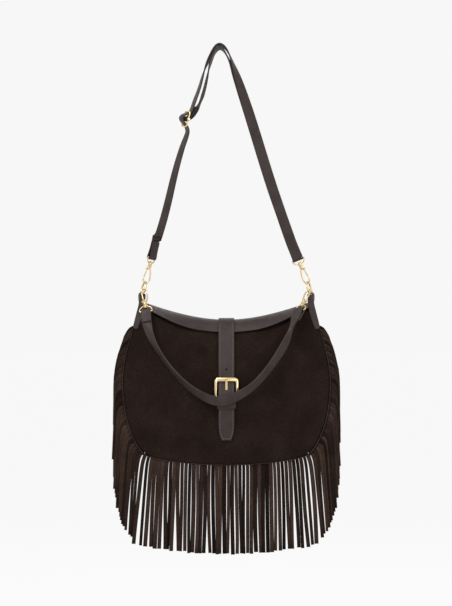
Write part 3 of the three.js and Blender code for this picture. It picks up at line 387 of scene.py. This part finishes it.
def edit_all(piece, *steps):
    """Run mesh operators, each with its settings, on all of a piece."""
    only(piece)
    bpy.ops.object.mode_set(mode="EDIT")
    bpy.ops.mesh.select_all(action="SELECT")
    for operator, settings in steps:
        operator(**settings)
    bpy.ops.object.mode_set(mode="OBJECT")


FACE_OUTWARDS = (bpy.ops.mesh.normals_make_consistent, {"inside": False})


def copy_of(node, name):
    """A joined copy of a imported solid, mostly in quads."""
    piece = bpy.data.objects.new(name, frame["nodes"][node].data.copy())
    bpy.context.collection.objects.link(piece)
    piece.data.materials.clear()
    edit_all(piece,
             (bpy.ops.mesh.remove_doubles, {"threshold": MERGE_DISTANCE}),
             (bpy.ops.mesh.tris_convert_to_quads,
              {"face_threshold": QUAD_FACE_ANGLE, "shape_threshold": QUAD_SHAPE_ANGLE}),
             FACE_OUTWARDS)
    return piece


def apply(piece, kind, **settings):
    """Add a modifier and apply it."""
    modifier = piece.modifiers.new(kind.lower(), kind)
    for key, value in settings.items():
        setattr(modifier, key, value)
    only(piece)
    bpy.ops.object.modifier_apply(modifier=modifier.name)


def bevel(piece, width, segments):
    """Round the sharp edges, by a width in millimetres."""
    apply(piece, "BEVEL", width=width * MM, segments=segments, limit_method="ANGLE",
          angle_limit=EDGE_ANGLE)


def subdivide(piece, levels):
    apply(piece, "SUBSURF", levels=levels, render_levels=levels)


def settle(piece, material, body, slot, *nodes):
    """Give a piece its finish, its body and the solids it stands for; the slot is not used."""
    piece.data.materials.clear()
    piece.data.materials.append(material)
    only(piece)
    bpy.ops.object.shade_smooth()
    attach(piece, body)
    if nodes:
        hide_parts(*nodes)


# %% [markdown]
# ## Flap, handle and strap bend
# In the photo the flap narrows towards the corners, the handle's legs turn their edge to the front,
# and the strap's two layers lie together at the top. Lattices could bend the copies. A function from
# a point to its new place is shorter to write, and can use the same millimetres as the drawing. These
# work from the bag's own origin, at the middle of its mouth.

# %% How the flap tapers, the handle turns and the bend leans
BAG_ORIGIN = np.array([10.6, 0, -410.0])
MOUTH_HALF, MOUTH_DIP, RIDGE_RISE = 138, 31, 7.6
FLAP_HALF, FLAP_TAPER_FROM, FLAP_REACH, FLAP_END_SHARE = 122, 40, 11, 0.35
FLAP_LIP, FLAP_LIFT = 20.0, 6.0
LEFT_LEG = np.array([[-119, -47, -53], [-95.7, -53, -91], [-63.8, -57.5, -126.6],
                     [-27, -59.4, -149.8], [-3, -59.6, -152.5]])
RIGHT_LEG = np.array([[-3, -59.6, -152.5], [19.2, -59.6, -143.5], [42.6, -58.5, -128.3],
                      [70.2, -56, -97.3], [96, -49, -56]])
HANDLE_LEGS = [(LEFT_LEG, math.radians(34)), (RIGHT_LEG, math.radians(30))]
LEG_TURN_POWER = 0.8
BEND_LOW, BEND_HIGH, BEND_CENTRE, BEND_LEAN = -50, -18, -30, 0.24


def ease_in_out(share):
    """From nought to one, with a soft start and a soft end."""
    return share * share * (3 - 2 * share)


def taper_flap(point):
    """Draw the flap's lip up and its ends out towards the corners."""
    x, y, z = point
    share = min(max((abs(x) - FLAP_TAPER_FROM) / (FLAP_HALF - FLAP_TAPER_FROM), 0), 1)
    ridge = MOUTH_DIP * ((x / MOUTH_HALF) ** 2 - 1) + RIDGE_RISE
    if y < 0 and z < ridge:
        lifted = min((ridge - z) / FLAP_LIP, 1) * math.sin(math.pi * share)
        y -= FLAP_LIFT * lifted
        z = ridge + (z - ridge) * (1 - (1 - FLAP_END_SHARE) * share * share)
    return np.array([x + math.copysign(FLAP_REACH * share ** 2, x), y, z])


def turn_handle(point):
    """Turn both legs of the handle so that more of their edge faces the front."""
    for leg, most in HANDLE_LEGS:
        if not leg[0][0] < point[0] <= leg[-1][0] or point[2] > leg[:, 2].max():
            continue
        starts, steps = leg[:-1], np.diff(leg, axis=0)
        shares = np.clip(((point - starts) * steps).sum(1) / (steps * steps).sum(1), 0, 1)
        feet = starts + steps * shares[:, None]
        near = int(np.linalg.norm(feet - point, axis=1).argmin())
        axis = steps[near] / np.linalg.norm(steps[near])
        along = (near + shares[near]) / len(steps)
        angle = most * math.sin(math.pi * along) ** LEG_TURN_POWER
        arm = point - feet[near]
        return (feet[near] + arm * math.cos(angle) + np.cross(axis, arm) * math.sin(angle)
                + axis * axis.dot(arm) * (1 - math.cos(angle)))
    return point


def lean_bend(point):
    """Lean the strap's two layers at its top bend, so that they close up as one band."""
    x, y, z = point + BAG_ORIGIN
    share = min(max((z - BEND_LOW) / (BEND_HIGH - BEND_LOW), 0), 1)
    out = np.array([x, 0, z - BEND_CENTRE])
    return point - out / np.linalg.norm(out) * BEND_LEAN * y * ease_in_out(share)


RESHAPE = {"top_flap": taper_flap, "handle_strap": turn_handle, "long_strap": lean_bend}
print("reshaped", list(RESHAPE))

# %% [markdown]
# ## Leather pieces
# Straps, belt, flap and tabs are cut from leather a few millimetres thick, and their edges are
# painted and rubbed round. A bevel of about half a millimetre and one subdivision give that edge and
# keep the flat faces. A remesh would round thin straps away, so it isn't used here.

# %% Leather straps, belt, flap and tabs
LEATHER_BEVEL = {
    "top_flap": 0.6, "closing_belt": 0.6, "belt_keeper": 0.5, "buckle_chape": 0.5,
    "left_corner_tab": 0.5, "right_corner_tab": 0.5, "handle_strap": 0.8, "long_strap": 0.7,
}
LEATHER_SEGMENTS = 2
for node, width in LEATHER_BEVEL.items():
    piece = copy_of(node, node + "_leather")
    bevel(piece, width, LEATHER_SEGMENTS)
    subdivide(piece, 1)
    if node in RESHAPE:
        for vertex in piece.data.vertices:
            local = np.array(vertex.co) / MM - BAG_ORIGIN
            vertex.co = (RESHAPE[node](local) + BAG_ORIGIN) * MM
    settle(piece, leather, BODY_OF[node], SLOT_OF[node], node)
    pieces[node] = piece
    print(piece.name, len(piece.data.polygons))

# %% [markdown]
# ## Gold fittings
# Rings, hooks, gates and the slide are cast and then tumbled, so no edge is sharp and the pieces of a
# casting run into one another. A remesh in fine voxels melts the faceted solid into one skin, and a
# smooth pass takes off the steps. The buckle frame is stamped, with flat faces, so it is bevelled.

# %% Gold fittings
SMALL_FITTING = 0.012
SMALL_VOXEL, LARGE_VOXEL = 0.22, 0.34
TUMBLE = {"factor": 0.5, "iterations": 5}
BUCKLE_BEVEL, BUCKLE_SEGMENTS = 1.1, 3
metal_faces = 0
for node, slot in SLOT_OF.items():
    if slot != "gold":
        continue
    piece = copy_of(node, node + "_metal")
    low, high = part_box(node)
    longest = max(h - l for l, h in zip(low, high))
    if node == "buckle_frame":
        bevel(piece, BUCKLE_BEVEL, BUCKLE_SEGMENTS)
    else:
        voxel = SMALL_VOXEL if longest < SMALL_FITTING else LARGE_VOXEL
        apply(piece, "REMESH", mode="VOXEL", voxel_size=voxel * MM)
        apply(piece, "SMOOTH", **TUMBLE)
    settle(piece, gold, BODY_OF[node], slot, node)
    pieces[node] = piece
    metal_faces += len(piece.data.polygons)
print("metal faces", metal_faces)

# %% [markdown]
# ## Panels and gusset
# The front and back panels are soft suede, slack between seam and mouth, and the gusset joins them. A
# cloth simulation could sag them, but they are held on all sides and move only a few millimetres. So
# the copies are subdivided, and a cloud texture pushes the middle of each panel inwards, fading out
# at the seam.

# %% Suede panels and gusset
BELLY_Z, HALF_WIDTH, HALF_HEIGHT = -123.0, 165.4, 127.0
SLACK, SLACK_FADE, SLACK_MID = 3.0, 1.5, 0.35
PANEL_LEVELS = 2
slouch = bpy.data.textures.new("slouch", "CLOUDS")
slouch.noise_scale = 0.075
slouch.noise_depth = 1


def slacken(piece, inwards):
    """Push the middle of a panel inwards where its suede hangs slack."""
    middle = piece.vertex_groups.new(name="middle")
    for vertex in piece.data.vertices:
        across = (vertex.co.x / MM - BAG_ORIGIN[0]) / HALF_WIDTH
        up = (vertex.co.z / MM - BAG_ORIGIN[2] - BELLY_Z) / HALF_HEIGHT
        weight = max(0.0, 1 - (across * across + up * up) ** SLACK_FADE)
        middle.add([vertex.index], weight, "REPLACE")
    apply(piece, "DISPLACE", texture=slouch, texture_coords="LOCAL", direction="Y",
          mid_level=SLACK_MID, strength=inwards * SLACK * MM, vertex_group="middle")


for node, inwards in (("front_panel", 1), ("back_panel", -1), ("gusset", 0)):
    piece = copy_of(node, node + "_suede")
    subdivide(piece, PANEL_LEVELS)
    if inwards:
        slacken(piece, inwards)
    settle(piece, suede, BODY_OF[node], SLOT_OF[node], node)
    pieces[node] = piece
    print(piece.name, len(piece.data.polygons))

# %% [markdown]
# ## Lining
# The lining is a cloth bag sewn in at the mouth. Only its edge could ever be seen, so its solid is
# copied as it is and drawn in from front to back, which keeps the slack suede from cutting through it.

# %% Lining
LINING_DRAW = 0.93
lining = copy_of("lining", "lining_cloth_bag")
edit_all(lining, (bpy.ops.transform.resize,
                  {"value": (1, LINING_DRAW, 1), "center_override": (0, 0, 0)}))
settle(lining, lining_cloth, BODY_OF["lining"], SLOT_OF["lining"], "lining")
pieces["lining"] = lining
print(lining.name, len(lining.data.polygons))

# %% [markdown]
# ## Seam line
# On the real bag the fringe is sewn into the seam round the front panel, so everything that follows
# needs that line. A Blender curve object could hold it, but here it has to be asked for a point, a
# direction and a depth at any distance. So the three Bezier curves of the right half are worked out
# as points and read by the distance from the bottom middle.

# %% The seam line
SEAM_CURVES = [
    ((0, -254.5), (60, -254.5), (121, -245.2), (130, -238)),
    ((130, -238), (150, -222), (165.4, -175), (165.4, -123)),
    ((165.4, -123), (165.4, -80), (146, -35), (138, 0)),
]
CURVE_POINTS, TANGENT_STEP = 200, 1
DEPTH_BOTTOM, DEPTH_CORNER = 76, 30
SUEDE_THICK, GAP, HEADER, HEADER_WIDTH = 1.6, 0.3, 1.0, 6.0
t = np.linspace(0, 1, CURVE_POINTS)[:, None]
seam_points = np.concatenate([
    (1 - t) ** 3 * a + 3 * (1 - t) ** 2 * t * b + 3 * (1 - t) * t * t * c + t ** 3 * d
    for a, b, c, d in (map(np.array, curve) for curve in SEAM_CURVES)])
seam_steps = np.linalg.norm(np.diff(seam_points, axis=0), axis=1)
seam_run = np.concatenate([[0], np.cumsum(seam_steps)])
HALF_SEAM = seam_run[-1]


def seam(distance):
    """x, z, outward x, outward z and header y of the seam, right side positive, in millimetres."""
    sign = -1 if distance < 0 else 1
    run = min(abs(distance), HALF_SEAM)
    ends = np.clip([run - TANGENT_STEP, run + TANGENT_STEP], 0, HALF_SEAM)
    x, z = (np.interp(run, seam_run, seam_points[:, i]) for i in (0, 1))
    dx, dz = (np.diff(np.interp(ends, seam_run, seam_points[:, i]))[0] for i in (0, 1))
    size = math.hypot(dx, dz)
    share = run / HALF_SEAM
    half = (DEPTH_BOTTOM + (DEPTH_CORNER - DEPTH_BOTTOM) * share * share) / 2
    return sign * x, z, sign * dz / size, -dx / size, SUEDE_THICK + GAP + HEADER / 2 - half


FRINGE_TOP, FRINGE_TURN_X, SEARCH_STEP = -34, 131, 0.5
FRINGE_END = next(d for d in np.arange(HALF_SEAM, 0, -SEARCH_STEP) if seam(d)[1] <= FRINGE_TOP)
FRINGE_TURN = next(d for d in np.arange(0, HALF_SEAM, SEARCH_STEP) if seam(d)[0] >= FRINGE_TURN_X)
print("half seam", round(HALF_SEAM), "fringe from", round(FRINGE_TURN), "to", round(FRINGE_END))

# %% [markdown]
# ## Strips
# A strand, the heading strip, the cut edge and the corner bindings are all flat ribbons with rounded
# edges that follow a path. A curve with a bevel profile could make them, but its twist is hard to
# steer. So the cross-section is laid at each point of a path and the rows are joined to a closed mesh.

# %% Helpers that make a strip
SECTION = [(-0.5, -0.3), (-0.18, -0.5), (0.18, -0.5), (0.5, -0.3),
           (0.5, 0.3), (0.18, 0.5), (-0.18, 0.5), (-0.5, 0.3)]
BACKWARDS = np.array([0, 1, 0])


def ribbon_row(point, across, face, width, thick):
    """The cross-section of a strip, laid at a point."""
    return [point + across * (u * width) + face * (v * thick) for u, v in SECTION]


def cross_axes(path, i, face):
    """The directions across a strip and out of its face, square to its path."""
    run = path[min(i + 1, len(path) - 1)] - path[max(i - 1, 0)]
    run = run / np.linalg.norm(run)
    face = face - run * face.dot(run)
    face = face / np.linalg.norm(face)
    return np.cross(run, face), face


def tube(rows, tone_and_shade, verts, faces, tone_and_shade_values):
    """Add a closed strip of rows to the lists."""
    start, count = len(verts), len(rows[0])
    for row in rows:
        verts.extend(row)
        tone_and_shade_values.extend([tone_and_shade] * count)
    for i in range(len(rows) - 1):
        for j in range(count):
            k = (j + 1) % count
            a = start + i * count
            faces.append((a + j, a + k, a + count + k, a + count + j))
    faces.append(tuple(start + j for j in reversed(range(count))))
    faces.append(tuple(start + (len(rows) - 1) * count + j for j in range(count)))


def mesh_piece(name, verts, faces, tone_and_shade_values=None):
    """A new object from points in the bag's millimetres."""
    mesh = bpy.data.meshes.new(name)
    mesh.from_pydata([tuple((np.array(v) + BAG_ORIGIN) * MM) for v in verts], [], faces)
    if tone_and_shade_values:
        layer = mesh.attributes.new("tone_and_shade", "FLOAT", "POINT")
        layer.data.foreach_set("value", tone_and_shade_values)
    piece = bpy.data.objects.new(name, mesh)
    bpy.context.collection.objects.link(piece)
    edit_all(piece, FACE_OUTWARDS)
    return piece


def strip_piece(name, rows):
    """A new object made of one strip."""
    verts, faces = [], []
    tube(rows, 0, verts, faces, [])
    return mesh_piece(name, verts, faces)


# %% [markdown]
# ## Fringe
# The fringe is one strip of suede, cut into about a hundred strands up to a heading that is sewn into
# the seam. Hair particles would give round threads, and a cloth simulation of so many strands is
# slow. So each strand is a ribbon of its own: it leaves the seam square to it, turns down and hangs.
# At the sides it is pushed out by the bag, and set behind the strand below it. A seeded draw gives
# each one a little sway, twist, width, length and tone.

# %% How a strand hangs
STRAND_LENGTH, STRAND_WIDTH, STRAND_THICK, STRAND_PITCH = 142, 5.9, 1.0, 6.0
STATIONS = [-1.2, 1.2, 3, 6, 10, 15, 22, 32, 44, 57, 70, 84, 98, 112, 126, 1000]
ROOT_END, TURN_DOWN, HANG_STEP = 2, 9, 4
SIDE_SPREAD, SPREAD_LOW, SPREAD_RISE = 15, 0.55, 0.45
SIDE_STACK, BACK_EASE = 37, 35
SIDE_WIDTH_SHARE, ROOT_FLARE, FLARE_FADE = 0.78, 0.7, 18
SLOW_REACH, REACH_FADE = 0.35, 60
CURL, SHINGLE, SHINGLE_FADE = 9, 0.6, 30
FAN, SIDE_FAN_POWER, BOTTOM_FAN_POWER = 13, 2, 3
SWAY_POWER, SWAY_WAVE, BOTTOM_SWAY = 1.2, 2.6, 1.1
FACE_OUT, FACE_STEPS = 0.35, 4
HIGH_FROM = FRINGE_TURN * 0.8


def hang_x(root_x, root_z, z):
    """How far out a side strand is pushed by the bag beside it."""
    if root_z < BELLY_Z:
        return root_x
    runs = np.arange(FRINGE_END, 0, -HANG_STEP)
    beside = [seam(d)[0] for d in runs if seam(d)[1] > z]
    return max([root_x, *beside])


def settled(drop, reach):
    """The share of a change that is over after a drop, for a change that dies out."""
    return 1 - math.exp(-drop / reach)


def draw_strand(side):
    """What sets one strand apart, drawn in a fixed order."""
    return {
        "length": STRAND_LENGTH + rng.uniform(-2.2, 0.6),
        "width": STRAND_WIDTH * rng.uniform(0.84, 1.2) * (SIDE_WIDTH_SHARE if side else 1),
        "sway": rng.uniform(-2.6, 2.6),
        "phase": rng.uniform(0, 6.3),
        "twist": rng.uniform(-0.4, 0.4),
        "lift": rng.uniform(-2.4, 1.2),
    }


def strand_path(distance, side, drawn):
    """Middle points of a strand from root to tip, and its turn about itself at each."""
    x0, z0, out_x, out_z, y0 = seam(distance)
    sign = -1 if distance < 0 else 1
    high = ease_in_out(np.clip((abs(distance) - HIGH_FROM) / (FRINGE_END - HIGH_FROM), 0, 1))
    spread = SIDE_SPREAD * abs(out_x) * (SPREAD_LOW + SPREAD_RISE * high)
    points, turns = [], []
    for drop in (min(station, drawn["length"]) for station in STATIONS):
        if drop < ROOT_END:
            points.append(np.array([x0 + out_x * drop, y0, z0 + out_z * drop]))
            turns.append(0.0)
            continue
        share = drop / drawn["length"]
        z = z0 - drop + CURL * abs(out_x) * settled(drop, CURL) * side
        if side:
            hung, fan = hang_x(abs(x0), z0, z), (1 - high) ** SIDE_FAN_POWER
        else:
            hung, fan = abs(x0), (abs(x0) / FRINGE_TURN_X) ** BOTTOM_FAN_POWER
        late = SLOW_REACH * side * high * math.exp(-drop / REACH_FADE)
        x = sign * (hung + spread * settled(drop, TURN_DOWN) * (1 - late) + FAN * share * fan)
        swing = math.sin(drawn["phase"] + SWAY_WAVE * share) * (1 if side else BOTTOM_SWAY)
        x += drawn["sway"] * share ** SWAY_POWER * swing
        y = y0 + SIDE_STACK * high * side * settled(drop, BACK_EASE) + drawn["lift"] * share
        points.append(np.array([x, y, z]))
        shingle = SHINGLE * sign * side * math.exp(-drop / SHINGLE_FADE)
        turns.append(drawn["twist"] * share + shingle)
    return points, turns


def strand_rows(distance, side):
    """The rows of one strand."""
    drawn = draw_strand(side)
    points, turns = strand_path(distance, side, drawn)
    out_x = seam(distance)[2]
    rows = []
    for i, (point, turn) in enumerate(zip(points, turns)):
        face = np.array([FACE_OUT * out_x * side * min(1, i / FACE_STEPS), 1, 0])
        across, face = cross_axes(points, i, face)
        cos, sin = math.cos(turn), math.sin(turn)
        across, face = across * cos + face * sin, face * cos - across * sin
        flare = 1 + ROOT_FLARE * side * math.exp(-max(STATIONS[i], 0) / FLARE_FADE)
        rows.append(ribbon_row(point, across, face, drawn["width"] * flare, STRAND_THICK))
    return rows


print("a strand has", len(STATIONS), "rows of", len(SECTION), "points")

# %% [markdown]
# ## Heading and strands together
# The cuts stop a little short of the seam, so the heading reaches out past it. The heading and the
# strands of one run become one mesh, because they are one piece of suede. The tone of each strand is
# stored on
# its points for the finish to read. The heading is given a low value there that darkens it:
# painted shade for the gap between the fringe and the gusset, which lies in shadow.

# %% The three runs of the fringe
UNCUT = {1: 2.5, 0: 0.75}
# The heading's value is low, which paints shade on it, for the gap between fringe and gusset that lies
# in shadow.
HEADER_STEP, HEADER_LEAST_ROWS, HEADER_PAINTED_SHADE = 6, 6, 0.1
FRINGES = {
    "fringe_left": (-FRINGE_END, -FRINGE_TURN - GAP, 1),
    "fringe_bottom": (-FRINGE_TURN, FRINGE_TURN, 0),
    "fringe_right": (FRINGE_TURN + GAP, FRINGE_END, 1),
}


def header_rows(start, end, uncut):
    """The heading strip, with the part below the seam that the cuts stop short of."""
    rows = []
    width = HEADER_WIDTH + uncut
    inset = HEADER_WIDTH / 2 - uncut / 2
    row_count = max(HEADER_LEAST_ROWS, int((end - start) / HEADER_STEP))
    for distance in np.linspace(start, end, row_count):
        x, z, out_x, out_z, y = seam(distance)
        middle = np.array([x - out_x * inset, y, z - out_z * inset])
        rows.append(ribbon_row(middle, np.array([out_x, 0, out_z]), BACKWARDS, width, HEADER))
    return rows


for node, (start, end, side) in FRINGES.items():
    verts, faces, tone_and_shade_values = [], [], []
    # The heading strip carries the low value: painted shade.
    tube(header_rows(start, end, UNCUT[side]), HEADER_PAINTED_SHADE, verts, faces, tone_and_shade_values)
    count = round((end - start) / STRAND_PITCH)
    for i in range(count):
        distance = start + (end - start) * (i + 0.5) / count
        tube(strand_rows(distance, side), rng.random(), verts, faces, tone_and_shade_values)
    piece = mesh_piece(node + "_strands", verts, faces, tone_and_shade_values)
    settle(piece, fringe_suede, BODY_OF[node], SLOT_OF[node], node)
    pieces[node] = piece
    print(piece.name, count, "strands")

# %% [markdown]
# ## Cut edge
# Where the front panel ends, the raw edge of its suede shows as a thin lighter line above the fringe.
# A second material on the panel's rim would need its faces sorted out, so the edge is a fine strip
# of its own that follows the seam.

# %% Cut edge of the front panel
EDGE_WIDTH, EDGE_OVERLAP, EDGE_ROWS = 1.3, 1.15, 160
edge_rows = []
for distance in np.linspace(-FRINGE_END, FRINGE_END, EDGE_ROWS):
    x, z, out_x, out_z, header_y = seam(distance)
    middle = np.array([x, header_y - HEADER / 2 - GAP - SUEDE_THICK / 2, z])
    edge_rows.append(ribbon_row(middle, np.array([out_x, 0, out_z]), BACKWARDS, EDGE_WIDTH,
                                SUEDE_THICK * EDGE_OVERLAP))
panel_edge = strip_piece("panel_cut_edge", edge_rows)
settle(panel_edge, cut_edge, "bag", "suede")
print(panel_edge.name, len(panel_edge.data.polygons))

# %% [markdown]
# ## Corner bindings
# Above the fringe, a strip of leather covers the seam at each corner and turns in over the mouth. It
# is a strip like the fringe's, wider at its middle, and two subdivisions soften its few rows.

# %% Leather binding of the two corners
BINDING_TOP = [(134.2, -13, 6), (133, -9, 12), (132.4, -5, 17)]
BINDING_WIDTH, BINDING_THICK, BINDING_INSET, BINDING_LIFT = 9.0, 1.4, 3.5, 0.3
BINDING_OVERLAP, BINDING_SEAM_ROWS, BINDING_LEVELS = 4, 6, 2
BINDING_SWELL, BINDING_LEAN = 0.3, 0.35
for side, name in ((-1, "left_corner_binding"), (1, "right_corner_binding")):
    path = []
    for distance in np.linspace(FRINGE_END - BINDING_OVERLAP, HALF_SEAM, BINDING_SEAM_ROWS):
        x, z, out_x, out_z, header_y = seam(distance)
        front = header_y - HEADER / 2 - GAP - SUEDE_THICK
        path.append((side * (x - out_x * BINDING_INSET), front - BINDING_LIFT,
                     z - out_z * BINDING_INSET))
    path = np.array(path + [(side * x, y, z) for x, y, z in BINDING_TOP])
    rows = []
    for i, point in enumerate(path):
        across, face = cross_axes(path, i, np.array([side * BINDING_LEAN, -1, 0]))
        swell = 1 + BINDING_SWELL * math.sin(math.pi * i / (len(path) - 1))
        rows.append(ribbon_row(point + face * BINDING_THICK, across, face, BINDING_WIDTH * swell,
                               BINDING_THICK))
    binding = strip_piece(name, rows)
    subdivide(binding, BINDING_LEVELS)
    settle(binding, leather, "bag", "leather")
    print(name, len(binding.data.polygons))

# %% [markdown]
# ## Belt stitches
# The closing belt is sewn along both edges and round its tip, with a stitch every few millimetres. A
# bump texture would lose the thread's own colour and shadow. So one small ball is stretched into a
# stitch and repeated, and a ray from the front finds where each one lies on the curved belt.

# %% Stitches along the belt
STITCH_PITCH, STITCH_LENGTH, STITCH_RADIUS = 3.7, 2.6, 0.5
STITCH_FLATNESS, STITCH_RISE, STITCH_SIDES, STITCH_RINGS = 0.7, 0.3, 8, 6
BELT_HALF, BELT_TIP_HALF, STITCH_INSET = 12.5, 7.3, 2.3
BELT_TOP, BELT_TAPER_TOP, BELT_END = -30, -199, -215
TAPER_SKIP, TIP_STITCH_HALF = 2, 4
RAY_START_Y = -0.2
bpy.ops.object.select_all(action="DESELECT")
bpy.ops.mesh.primitive_uv_sphere_add(segments=STITCH_SIDES, ring_count=STITCH_RINGS, radius=1)
ball = bpy.context.object
ball_verts = np.array([v.co for v in ball.data.vertices])
ball_faces = [tuple(f.vertices) for f in ball.data.polygons]
bpy.data.objects.remove(ball)


def on_belt(x, z):
    """Where a ray from the front meets the belt, in the bag's millimetres, and the normal there."""
    origin = Vector(((x + BAG_ORIGIN[0]) * MM, RAY_START_Y, (z + BAG_ORIGIN[2]) * MM))
    hit, place, normal, _ = pieces["closing_belt"].ray_cast(origin, Vector((0, 1, 0)))
    return (np.array(place) / MM - BAG_ORIGIN, np.array(normal)) if hit else None


def stitch_line(start, end, verts, faces):
    """Add a straight row of stitches to the lists, from x and z to x and z."""
    start, end = np.array(start, float), np.array(end, float)
    length = np.linalg.norm(end - start)
    along = (end - start) / length
    for i in range(int(length / STITCH_PITCH) + 1):
        middle = start + along * i * STITCH_PITCH
        ends = [on_belt(*(middle + along * s * STITCH_LENGTH / 2)) for s in (-1, 1)]
        if None in ends or abs(ends[0][0][1] - ends[1][0][1]) > STITCH_LENGTH:
            continue
        (low, normal), (high, _) = ends
        run = (high - low) / np.linalg.norm(high - low)
        axes = np.stack([np.cross(run, normal) * STITCH_RADIUS,
                         normal * STITCH_RADIUS * STITCH_FLATNESS, run * STITCH_LENGTH / 2])
        base = len(verts)
        place = (low + high) / 2 + normal * STITCH_RADIUS * STITCH_RISE
        verts.extend(place + ball_verts @ axes)
        faces.extend(tuple(base + v for v in face) for face in ball_faces)


verts, faces = [], []
TIP_ROW = BELT_END + STITCH_INSET
for side in (-1, 1):
    edge, tip = side * (BELT_HALF - STITCH_INSET), side * (BELT_TIP_HALF - STITCH_INSET / 2)
    stitch_line((edge, BELT_TOP), (edge, BELT_TAPER_TOP), verts, faces)
    stitch_line((edge, BELT_TAPER_TOP - TAPER_SKIP), (tip, TIP_ROW), verts, faces)
stitch_line((-TIP_STITCH_HALF, TIP_ROW), (TIP_STITCH_HALF, TIP_ROW), verts, faces)
stitches = mesh_piece("belt_stitches", verts, faces)
settle(stitches, thread, "bag", "leather")
print("stitches", len(faces) // len(ball_faces))
